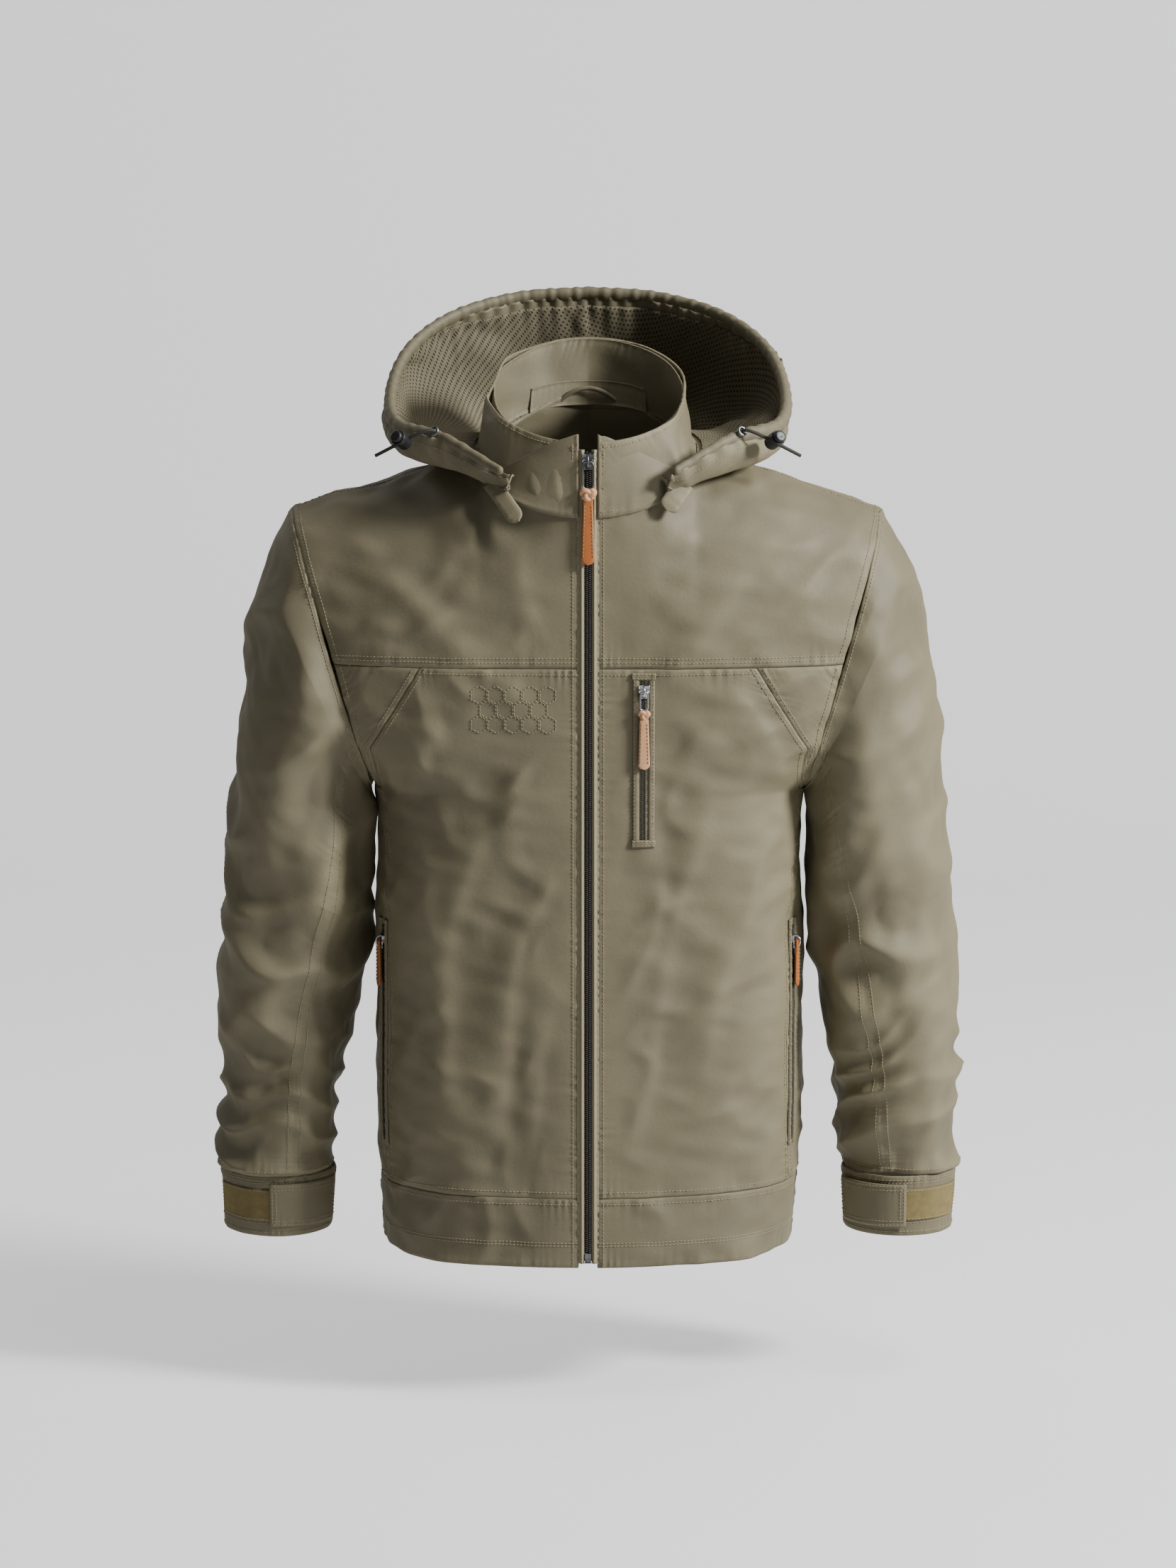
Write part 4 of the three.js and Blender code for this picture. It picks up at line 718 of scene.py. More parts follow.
def grained(name, colour, rough, metal=0.0, coat=0.0, scale=900.0, depth=0.00008, spread=0.12, sheen=0.0):
    """A finish whose colour, roughness and fine relief follow two noises."""
    made, tree, shader = surface(name, colour, rough, metal, sheen, coat)
    where = node(tree, "TexCoord").outputs["Object"]
    fine = node(tree, "TexNoise", {"Vector": where, "Scale": scale, "Detail": 4.0}).outputs["Fac"]
    slow = node(tree, "TexNoise", {"Vector": where, "Scale": scale / 9, "Detail": 3.0}).outputs["Fac"]
    tree.links.new(tinted(tree, colour, scaled(tree, slow, 1 - spread, 1 + spread),
                          scaled(tree, fine, 1 - spread / 2, 1 + spread / 2)), shader.inputs["Base Color"])
    tree.links.new(scaled(tree, slow, rough * 0.8, rough * 1.2), shader.inputs["Roughness"])
    bump = node(tree, "Bump", {"Height": fine, "Strength": 0.5, "Distance": depth})
    tree.links.new(bump.outputs["Normal"], shader.inputs["Normal"])
    return made


FINISHES = {}


def finishes():
    """Every finish, made once, by the name of its slot in the record."""
    if not FINISHES:
        look = bpy.context.scene.jacket_look
        cloth = tuple(look.cloth_colour)
        darker = tuple(0.93 * c for c in cloth)
        thread = tuple(min(1, 1.5 * c) for c in cloth)
        FINISHES.update(
            shell_cloth=cloth_finish("shell_cloth", cloth),
            band_cloth=cloth_finish("band_cloth", darker, seams=0.2),
            mesh_lining=mesh_finish("mesh_lining", tuple(0.8 * c for c in cloth)),
            zip_tape=cloth_finish("zip_tape", tuple(1.45 * c for c in cloth), weave=0.7, sheen=0.1, twill=0.6),
            zip_teeth=grained("zip_teeth", (0.035, 0.032, 0.028), 0.38, scale=500),
            gunmetal=grained("gunmetal", (0.2, 0.2, 0.21), 0.34, metal=1.0, scale=400, depth=0.00003),
            bright_metal=grained("bright_metal", (0.62, 0.62, 0.64), 0.26, metal=1.0, scale=400, depth=0.00003),
            leather=grained("leather", tuple(look.leather_colour), 0.52, scale=1400, depth=0.00015, spread=0.2),
            pale_leather=grained("pale_leather", (0.62, 0.33, 0.17), 0.56, scale=1400, depth=0.00015, spread=0.2),
            black_plastic=grained("black_plastic", (0.014, 0.014, 0.015), 0.42, scale=1100, depth=0.00004),
            elastic_cord=grained("elastic_cord", (0.03, 0.027, 0.022), 0.75, scale=1600, depth=0.0003, sheen=0.3),
            loop_pile=grained("loop_pile", (0.2, 0.155, 0.06), 0.9, scale=1700, depth=0.0009, spread=0.35, sheen=0.4),
            thread=grained("thread", thread, 0.6, scale=3000, depth=0.00006, spread=0.1, sheen=0.3),
        )
    return FINISHES


def settle(made, body, slot, *nodes):
    """Hangs a finished piece on its body, or bends it between two, and lets it stand for its CAD nodes."""
    if isinstance(body, tuple):
        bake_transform(made)
    elif body:
        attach(made, body)
    if nodes:
        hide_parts(*nodes)
    for start, (held, rests_on) in HELD.items():
        if made.name in CUTS and made.name.startswith(start):
            break
    return made


# How each kind of cloth is held, and the node it hangs from.
HELD = {"yoke_back": ("hung", "hanger_loop"), "yoke_": ("hung", "back_yoke"), "back": ("hung", "back_yoke"),
        "body_": ("hung", "back_yoke"), "front_": ("hung", "back_yoke"), "side_": ("hung", "back_panel"),
        "hem_": ("hung", "back_panel"), "mesh_": ("hung", "back_yoke"), "hood": ("gathered", "collar_shell"),
        "sleeve_cloth": ("hung", "back_yoke"), "bag_": ("hung", "back_panel"), "storm_": ("hung", "zip_tape_left")}


# ---------- torso ----------
def mirrored(p, s):
    """Points mirrored in the middle plane where s is -1."""
    return p * [s, 1, 1]


def yoke_half(side, s, start, rows=64, cols=84):
    """Half a yoke, from start to the armhole's edge and from the chest seam up to the neck seam."""
    v = dense_ends(rows)[:, None]
    u = np.linspace(0, 1, 3 * cols + 1)[None]
    x = lerp(start, armhole_edge(v * np.pi / 2), u)
    rise = 0.0006 + v * (np.pi / 2 - 0.0006) - (np.pi / 2 - neck_rise(side, x)) * v**4
    p = even(upper(side, x, rise), cols, dense=True)
    return mirrored(p, s)


def strip(side, s, z, first, last, cols):
    """A panel below the yokes: each row runs round the torso from one place to another, given as turns."""
    z = np.asarray(z, float)[:, None]
    u = np.linspace(0, 1, 3 * cols + 1)[None]
    return mirrored(even(lower(side, lerp(first(z), last(z), u), z), cols, dense=True), s)


def seam_x(z):
    """The side seam's x: a line under the armpit, and SIDE_SEAM below it."""
    return np.where(z > 443, lerp(186.0, 142.0, (z - 443) / 72), through(SIDE_SEAM, z))


def joined(*halves):
    """Grids that share an edge, side by side: the first is turned round so that it ends where the second starts."""
    first, second = halves
    return np.concatenate([first[:, :0:-1], second], axis=1)


BODY_ROWS = lerp(HEM_TOP + 0.2, CHEST - 0.2, dense_ends(190))
HEM_ROWS = lerp(0.0, HEM_TOP - 0.1, dense_ends(26))
FRONT_X = 8.0  # the fronts' rolled edges, beside the zip


def cloth_piece(name, p, seams, sign, finish, body, *nodes, thick=SHELL, slot=None, **options):
    made = Cloth(p, seams, sign, **options)
    settle(made.build(name, finishes()[finish], thick), body, slot or finish, *nodes)
    return made


def build_torso():
    """Yokes, bodies, side panels and hem bands, cut as in the CAD and puckered along their seams."""
    lines = {"front": [], "back": []}
    for word, s in SIDES:
        yoke = cloth_piece("yoke_" + word, yoke_half(-1, s, FRONT_X), "LRBT", s, "shell_cloth", "root",
                           "front_yoke_" + word)
        body = cloth_piece(
            "front_" + word,
            strip(-1, s, BODY_ROWS, lambda z: turn_at(FRONT_X, z), lambda z: turn_at(seam_x(z), z), 74),
            "LRBT", s, "shell_cloth", "root", "front_body_" + word)
        def outer(z):
            return np.where(z > ARMPIT[1], turn_at(armhole_x(z), z), 0.0)
        halves = [strip(side, s, BODY_ROWS, lambda z: turn_at(seam_x(z) + 0.2, z), outer, 34) for side in (-1, 1)]
        side_lines = build_side_panel(word, s, halves, BODY_ROWS <= ARMPIT[1])
        band = cloth_piece("hem_" + word,
                           strip(-1, s, HEM_ROWS, lambda z: turn_at(FRONT_X, z), lambda z: 0.003 + 0 * z, 104),
                           "LRBT", s, "band_cloth", "root", "hem_band_" + word)
        lines["front"] += [yoke.line("B", 5), yoke.line("L", 5), yoke.line("R", 6), yoke.line("T", 5, 2),
                           yoke.line("B", 8.5)]
        lines["front"] += [body.line("L", 5), body.line("T", 5), body.line("R", 5), body.line("B", 5)]
        lines["front"] += [band.line("T", 5), band.line("B", 19), band.line("L", 5), band.line("B", 21.5)]
        lines["front"] += side_lines[:2]
        lines["back"] += side_lines[2:]
    yoke = cloth_piece("yoke_back", joined(yoke_half(1, -1, 0, cols=92), yoke_half(1, 1, 0, cols=92)), "LRBT", -1,
                       "shell_cloth", "root", "back_yoke")
    halves = [strip(1, s, BODY_ROWS, lambda z: np.pi / 2 + 0 * z, lambda z: turn_at(seam_x(z), z), 78)
              for s in (-1, 1)]
    panel = cloth_piece("back", joined(*halves), "LRBT", -1, "shell_cloth", "root", "back_panel")
    halves = [strip(1, s, HEM_ROWS, lambda z: np.pi / 2 + 0 * z, lambda z: 0.003 + 0 * z, 110) for s in (-1, 1)]
    band = cloth_piece("hem_back", joined(*halves), "LRBT", -1, "band_cloth", "root", "hem_band_back")
    lines["back"] += [yoke.line("B", 5), yoke.line("L", 6), yoke.line("R", 6), panel.line("T", 5), panel.line("L", 5),
                      panel.line("R", 5), panel.line("B", 5), band.line("T", 5), band.line("B", 19),
                       band.line("B", 21.5)]
    for word, paths in lines.items():
        settle(stitches("stitching_" + word, paths, finishes()["thread"]), "root", None)


def build_side_panel(word, s, halves, low):
    """The side panel: one grid under the arm, and two horns that rise in front of and behind the armhole."""
    front, back = halves
    under = int(low.sum())
    lines = []
    whole = np.concatenate([front[:under], back[:under, -2::-1]], axis=1)
    made = cloth_piece("side_" + word, whole, "LRB", s, "shell_cloth", "root", "side_panel_" + word)
    lines += [made.line("L", 5), made.line("B", 5), made.line("R", 5)]
    for part, grid, sign in (("front", front, s), ("back", back, -s)):
        horn = cloth_piece("side_%s_%s" % (part, word), grid[under - 1:], "LRT", sign, "shell_cloth", "root")
        lines.insert(1 if part == "front" else len(lines), horn.line("R", 6))
        lines.append(horn.line("L", 5))
    return lines


# ---------- zips ----------
ZIP_LONG = 706 / math.cos(math.atan(LEAN)) - 6
ZIP = np.eye(4)
ZIP[:3, 1] = [0, math.cos(math.atan(LEAN)), -math.sin(math.atan(LEAN))]
ZIP[:3, 2] = [0, math.sin(math.atan(LEAN)), math.cos(math.atan(LEAN))]
ZIP[:3, 3] = [0, -124, 0]


def moved(matrix, x=0.0, y=0.0, z=0.0):
    """A frame shifted along its own axes."""
    shift = np.eye(4)
    shift[:3, 3] = [x, y, z]
    return matrix @ shift


def tiled(shell, matrices):
    """Copies of one closed shell, one per matrix, as a single shell."""
    verts, faces = shell
    m = np.asarray(matrices)
    points = np.einsum("nij,vj->nvi", m[:, :3, :3], verts) + m[:, None, :3, 3]
    offset = (np.arange(len(m)) * len(verts))[:, None, None]
    groups = faces if isinstance(faces, list) else [faces]
    return points.reshape(-1, 3), [(g[None] + offset).reshape(-1, g.shape[1]) for g in groups]


def tooth(s, wide=2.7):
    """One turn of a coil: up from the tape, over, and down beside the middle line."""
    path = np.array([[1.0, 0.5, -0.35], [0.8, -0.5, -0.2], [0.45, -0.75, 0], [0.17, -0.45, 0.1], [0.1, 0.3, 0.15]])
    path = path * [s * wide, 1, 1]
    verts, faces = sweep(path, 0.46, section=6, ends=False)
    return merged((verts, faces))


def skin(s, x, z, lift=0.0):
    """Points and outward normals over the front's draped cloth, lift millimetres clear of it."""
    x, z = np.broadcast_arrays(np.asarray(x, float), np.asarray(z, float))
    p = lower(-1, turn_at(x, z), z)
    du = lower(-1, turn_at(x + 0.5, z), z) - p
    dv = lower(-1, turn_at(x, z + 1.0), z + 1.0) - p
    n = unit(np.cross(du, dv))
    p, n = mirrored(p, s), mirrored(n, s)
    return p + n * (drape(p, fold_depth()) + lift)[..., None], n


def coil(name, body, slot, frames, wide, *nodes):
    """Two rows of teeth along a list of frames, half a pitch apart."""
    frames = np.array(frames)
    shells = [tiled(tooth(s, wide), frames[:-1] if s > 0 else (frames[:-1] + frames[1:]) / 2) for s in (-1, 1)]
    return settle(make(name, *merged(*shells), finishes()["zip_teeth"]), body, slot, *nodes)


def build_zip():
    """The front zip: coil, piped tapes and their stitching."""
    teeth_z = np.arange(14, ZIP_LONG - 1, bpy.context.scene.jacket_look.tooth_pitch * 1000)
    coil("zip_teeth", "root", "zip_teeth", [moved(ZIP, 0, 0.1, z) for z in teeth_z], 2.7,
         "zip_coil_left", "zip_coil_right")
    backing = make("zip_backing", *pill((8.6, 0.8, ZIP_LONG - 8), 0.35, moved(ZIP, 0, 1.0, ZIP_LONG / 2 + 2)),
                   finishes()["zip_teeth"])
    settle(backing, "root", None)
    z = np.linspace(4, ZIP_LONG, 420)[:, None]
    for word, s in SIDES:
        x = np.linspace(2.95, 9.4, 15)[None]
        gather = np.sin(2 * np.pi * z / 6.7 + 1.5 * np.sin(z / 21) + s) * smooth((x - 5.5) / 3)
        y = 0.3 - 2.1 * np.exp(-(((x - 5.3) / 1.5) ** 2)) + 0.3 * gather
        p = placed(stack(s * x, y, z).reshape(-1, 3), ZIP).reshape(len(z), -1, 3)
        tape = Cloth(p, "", s, folds=0)
        settle(tape.build("tape_" + word, finishes()["zip_tape"], 0.7), "root", "zip_tape", "zip_tape_" + word)
    box = merged(pill((5.6, 2.6, 9), 0.5, moved(ZIP, 0, 0.1, 8.5)), pill((3.2, 1, 3), 0.4, moved(ZIP, 0, -1.3, 6.5)))
    settle(make("zip_pin_box", *box, finishes()["gunmetal"]), "root", "gunmetal", "zip_box")


def zip_place(at, low, high, up):
    """The frame of a pocket's slider: up the chord from the zip's foot to its head, cloth at Y = 0."""
    foot, head, n = at(low)[0], at(high)[0], at(low)[1]
    z = unit(head - foot)
    y = unit(-n - np.dot(-n, z) * z)
    m = np.eye(4)
    m[:3, 0], m[:3, 1], m[:3, 2], m[:3, 3] = np.cross(y, z), y, z, foot + up * z
    return m


def slider_shells(m, wide, high, front, foot):
    """A slider: a bevelled shield over the teeth, cheeks beside them and an arched lug."""
    y = front + 0.8
    shells = [pill((wide, 1.6, high * 0.55), 0.75, moved(m, 0, y, high * 0.7)),
              pill((wide * 0.8, 1.6, high * 0.62), 0.75, moved(m, 0, y, high * 0.32))]
    for s in (-1, 1):
        shells.append(pill((1.5, -front - foot - 0.3, high * 0.5), 0.6,
                           moved(m, s * (wide / 2 - 0.8), (front - foot - 0.3) / 2, high * 0.7)))
    arch = np.array([[0, -0.4, 0.1], [0, 2.2, 0.16], [0, 3.6, 0.3], [0, 3.9, 0.5],
                     [0, 3.6, 0.7], [0, 2.2, 0.84], [0, -0.4, 0.9]])
    path = placed(np.stack([arch[:, 0], front - arch[:, 1], arch[:, 2] * high], -1), m)
    shells.append(sweep(path, 0.8, section=14))
    return shells


def loop_path(wide, high, count=72):
    """A rounded rectangle in X and Z that hangs from its top bar at the origin: |x/a|^5 + |z/b|^5 = 1."""
    t = np.linspace(0, 2 * np.pi, count, endpoint=False)
    c, s = np.cos(t), np.sin(t)
    k = (np.abs(c) ** 5 + np.abs(s) ** 5) ** (-1 / 5)
    return stack(wide / 2 * c * k, 0, high / 2 * s * k - high / 2)


def strap_piece(name, m, top, foot, long, body, slot, *nodes):
    """A leather strap with a domed face, a round end and a row of stitching beside each edge."""
    v = np.linspace(0, 1, 60)
    half = lerp(top, foot, v) / 2
    left = long * (1 - v)
    half = np.where(left < foot / 2, np.sqrt(np.maximum(0.02, (foot / 2) ** 2 - (foot / 2 - left) ** 2)), half)
    u = np.linspace(-1, 1, 19)[None]
    dome = 0.55 * (np.abs(u) ** 4) + 0.35 * np.sin(v * 2.6)[:, None] + 0 * u
    p = placed(stack(half[:, None] * u, -1 + dome, -(long * v)[:, None]).reshape(-1, 3), m).reshape(60, 19, 3)
    made = Cloth(p[::-1], "", 1, folds=0)
    settle(made.build(name, finishes()[slot], 1.7), body, slot, *nodes)
    lines = [made.line(b, 1.5)[6:-3] for b in "LR"]
    settle(stitches(name + "_stitching", lines, finishes()["thread"]), body, None)


def knot_shells(m, wide):
    """A tied knot of leather cord: x = sin t + 2 sin 2t, z = cos t - 2 cos 2t, y = -sin 3t, scaled, round a core."""
    t = np.linspace(0, 2 * np.pi, 90, endpoint=False)
    k = wide / 8.6
    path = stack(k * (np.sin(t) + 2 * np.sin(2 * t)), -0.55 * k * np.sin(3 * t),
                 0.8 * k * (np.cos(t) - 2 * np.cos(2 * t)))
    band = sweep(placed(path, m), 0.17 * wide, section=14, closed_path=True, squash=0.8)
    return [band, pill((0.7 * wide, 0.3 * wide, 0.62 * wide), 0.14 * wide, m)]


def build_pulls():
    """Sliders, their wire loops, knots and straps, each on its own moving body."""
    main = moved(ZIP, 0, 0, ZIP_LONG - 17)
    f = finishes()
    settle(make("slider_main", *merged(*slider_shells(main, 11, 14, -2.7, 0)), f["gunmetal"]),
           "main_slider", "gunmetal", "main_slider")
    pull = moved(main, 0, -4.2, 7)
    loop = sweep(placed(loop_path(9.4, 22.4), pull), 0.8, 16, closed_path=True)
    settle(make("puller_main", *merged(loop), f["gunmetal"]),
           "main_pull", "gunmetal", "main_puller")
    hang = moved(pull, 0, 0, -22.4)
    settle(make("knot_main", *merged(*knot_shells(moved(hang, 0, 0, -4.6), 16)), f["pale_leather"]),
           "main_strap", "pale_leather", "main_knot")
    strap_piece("strap_main", moved(hang, 0, 0, -9.4), 8.5, 11.6, 55, "main_strap", "leather", "main_strap")

    chest = zip_place(lambda z: skin(1, 47.0, z), 364, 511, 126)
    settle(make("slider_chest", *merged(*slider_shells(chest, 9.6, 12, -3.4, 1.2)), f["bright_metal"]),
           "chest_slider", "bright_metal", "chest_slider")
    pull = moved(chest, 0, -4.9, 6)
    loop = sweep(placed(loop_path(6.4, 15.4), pull), 0.8, 16, closed_path=True)
    settle(make("puller_chest", *merged(loop), f["bright_metal"]),
           "chest_pull", "bright_metal", "chest_puller")
    hang = moved(pull, 0, 0, -15.4)
    settle(make("knot_chest", *merged(*knot_shells(moved(hang, 0, 0, -3.8), 11.5)), f["pale_leather"]),
           "chest_strap", "pale_leather")
    strap_piece("strap_chest", moved(hang, 0, 0, -7.5), 7.5, 10, 43, "chest_strap", "pale_leather", "chest_strap")
    for word, s in SIDES:
        def at(z):
            p = mirrored(lower(-1, 0.31, z), s)
            n = mirrored(unit(np.cross(lower(-1, 0.3, z) - lower(-1, 0.32, z), [0.0, 0.0, 1.0])), s)
            return p, n
        m = zip_place(at, 100.0, 282.0, 164)
        settle(make("slider_hand_" + word, *merged(*slider_shells(m, 9.6, 12, -4.1, 1.1)), f["bright_metal"]),
               "hand_slider_" + word, "bright_metal", "hand_%s_slider" % word)
        pull = moved(m, 0, -5.9, 6)
        strap_piece("strap_hand_" + word, moved(pull, 0, 0, 0.8), 7, 9.5, 40, "hand_strap_" + word, "leather",
                    "hand_strap_" + word)


# ---------- pockets and the lining ----------
def build_pockets():
    """The chest pocket's welt and coil, the hand pockets' lips and coils, and the flat bags behind them."""
    f, lines = finishes(), []
    for word, low, high in (("inner", 37.4, 43.6), ("outer", 50.4, 56.6)):
        x, z = np.linspace(low, high, 9)[None], np.linspace(366, 509, 96)[:, None]
        crown = 0.9 * np.sqrt(np.maximum(0, 1 - ((x - (low + high) / 2) / (high - low) * 1.9) ** 2))
        p, n = skin(1, x, z, 0.7)
        made = Cloth(p + n * crown[..., None], "LR", 1, folds=0, pucker=0.4)
        nodes = ("chest_pocket_welt",) if word == "inner" else ()
        settle(made.build("welt_" + word, f["band_cloth"], 1.2), "root", "band_cloth", *nodes)
        lines.append(made.line("L" if word == "inner" else "R", 1.6))
    for word, low, high in (("foot", 363, 369.5), ("head", 505.5, 512)):
        x, z = np.linspace(37, 57, 24)[None], np.linspace(low, high, 8)[:, None]
        made = Cloth(skin(1, x, z, 1.9)[0], "TB", 1, folds=0, pucker=0.3)
        settle(made.build("welt_" + word, f["band_cloth"], 1.2), "root", "band_cloth")
        lines += [made.line("T", 1.5), made.line("B", 1.5)]
    frames = []
    for z in np.arange(368, 508, 1.6):
        p, n = skin(1, 47.0, z, 0.5)
        frames.append(frame_at(p, np.cross(n, [0, 0, 1.0]) * -1, [0, 0, 1.0]))
    coil("chest_teeth", "root", "zip_teeth", frames, 2.5, "chest_zip_coil")
    slit = skin(1, np.linspace(43.2, 50.8, 5)[None], np.linspace(366, 509, 60)[:, None], 0.35)[0]
    settle(Cloth(slit, "", 1, folds=0).build("chest_slit", f["zip_tape"], 0.5), "root", "zip_tape")
    bag = skin(1, np.linspace(59, 117, 24)[None], np.linspace(310, 462, 50)[:, None], -2.9)[0]
    made = Cloth(bag, "", 1, folds=0).build("bag_chest", f["mesh_lining"], 0.7)
    settle(made, "root", "mesh_lining", "chest_pocket_bag")
    for word, s in SIDES:
        def cloth_at(turn, z, lift):
            turn, z = np.broadcast_arrays(turn, z)
            p = lower(-1, turn, z)
            n = unit(np.cross(lower(-1, turn - 0.01, z) - lower(-1, turn + 0.01, z), [0.0, 0.0, 1.0]))
            p, n = mirrored(p, s), mirrored(n, s)
            return p + n * (drape(p, fold_depth()) + lift)[..., None], n
        z = np.linspace(92, 290, 120)[:, None]
        for lip, low, high in (("front", 0.335, 0.385), ("back", 0.235, 0.285)):
            turn = np.linspace(high, low, 9)[None]
            crown = 1.3 * np.sqrt(np.maximum(0, 1 - (np.linspace(-1, 1, 9)[None] * 0.97) ** 2))
            p, n = cloth_at(turn, z, 0.5)
            made = Cloth(p + n * crown[..., None], "LR", s, folds=0, pucker=0.4)
            settle(made.build("lip_%s_%s" % (lip, word), f["band_cloth"], 1.2), "root", "band_cloth")
            lines.append(made.line("L" if lip == "front" else "R", 1.8))
        frames = []
        for high in np.arange(96, 286, 1.6):
            p, n = cloth_at(0.31, high, 0.6)
            frames.append(frame_at(p, np.cross([0, 0, 1.0], n), [0, 0, 1.0]))
        coil("hand_teeth_" + word, "root", "zip_teeth", frames, 2.3, "hand_zip_coil_" + word)
        slit = cloth_at(np.linspace(0.34, 0.28, 5)[None], z, 0.35)[0]
        settle(Cloth(slit, "", s, folds=0).build("hand_slit_" + word, f["zip_tape"], 0.5), "root", "zip_tape")
        bag = skin(s, np.linspace(45, 150, 40)[None], np.linspace(80, 267, 60)[:, None], -2.9)[0]
        made = Cloth(bag, "", s, folds=0).build("bag_hand_" + word, f["mesh_lining"], 0.7)
        settle(made, "root", "mesh_lining", "hand_pocket_bag_" + word)
    settle(stitches("stitching_pockets", lines, f["thread"]), "root", None)


def build_lining():
    """The mesh lining hangs a few millimetres inside the shell and follows its folds."""
    rows = np.concatenate([np.linspace(63, 402, 110), np.linspace(405, 512, 36)])
    for word, side in (("front_left", -1), ("front_right", -1), ("back", 1)):
        s = -1 if word == "front_left" else 1
        def outer(z):
            return np.where(z > ARMPIT[1], turn_at(armhole_x(z) - 3, z), 0.004)
        if side < 0:
            p, sign = strip(-1, s, rows, lambda z: turn_at(17, z), outer, 50), s
        else:
            p, sign = joined(*(strip(1, k, rows, lambda z: np.pi / 2 + 0 * z, outer, 54) for k in (-1, 1))), -1
        made = Cloth(p, "", sign, lift=-4.6)
        nodes = ("body_lining",) if word == "back" else ()
        settle(made.build("mesh_" + word, finishes()["mesh_lining"], 0.8), "root", "mesh_lining", *nodes)


# ---------- sleeves and cuffs ----------
def sleeve_relief(angle, along, p):
    """Soft lengthwise folds, slanting creases at the elbow, and rings of bunched cloth above the cuff."""
    depth = fold_depth()
    soft = 1.5 * waves(p, 31, 120, lean=(1, 1, 0.45))
    elbow = np.exp(-(((along - 0.52) / 0.2) ** 2))
    slant = creases(p, 33, 100, lean=(0.7, 0.5, 1)) * 3.0
    foot = smooth((along - 0.62) / 0.25) * (1 - smooth((along - 0.985) / 0.015))
    phase = np.pi * along * 14 + 1.5 * np.sin(angle + 0.8) + 0.8 * np.sin(2 * angle + 2)
    rings = np.sin(phase + 1.6 * waves(p, 35, 120))
    bunch = (1.2 - 2 * np.sqrt(rings**2 + 0.02)) * (0.45 + 0.55 * smooth(0.5 + 0.6 * waves(p, 38, 70)))
    fold = creases(p, 37, 150, lean=(0.8, 0.6, 0.8)) * 2.4
    return depth * (soft + (0.35 + elbow) * slant + fold + 1.9 * foot * bunch + 0.2 * waves(p, 36, 24))


def seam_angle(along, back=False):
    """The angle of the sleeve's seam, which eases from 2.3 to 1.88 radians."""
    turn = lerp(2.3, 1.88, smooth(along * 1.3))
    return 2 * np.pi - turn if back else turn


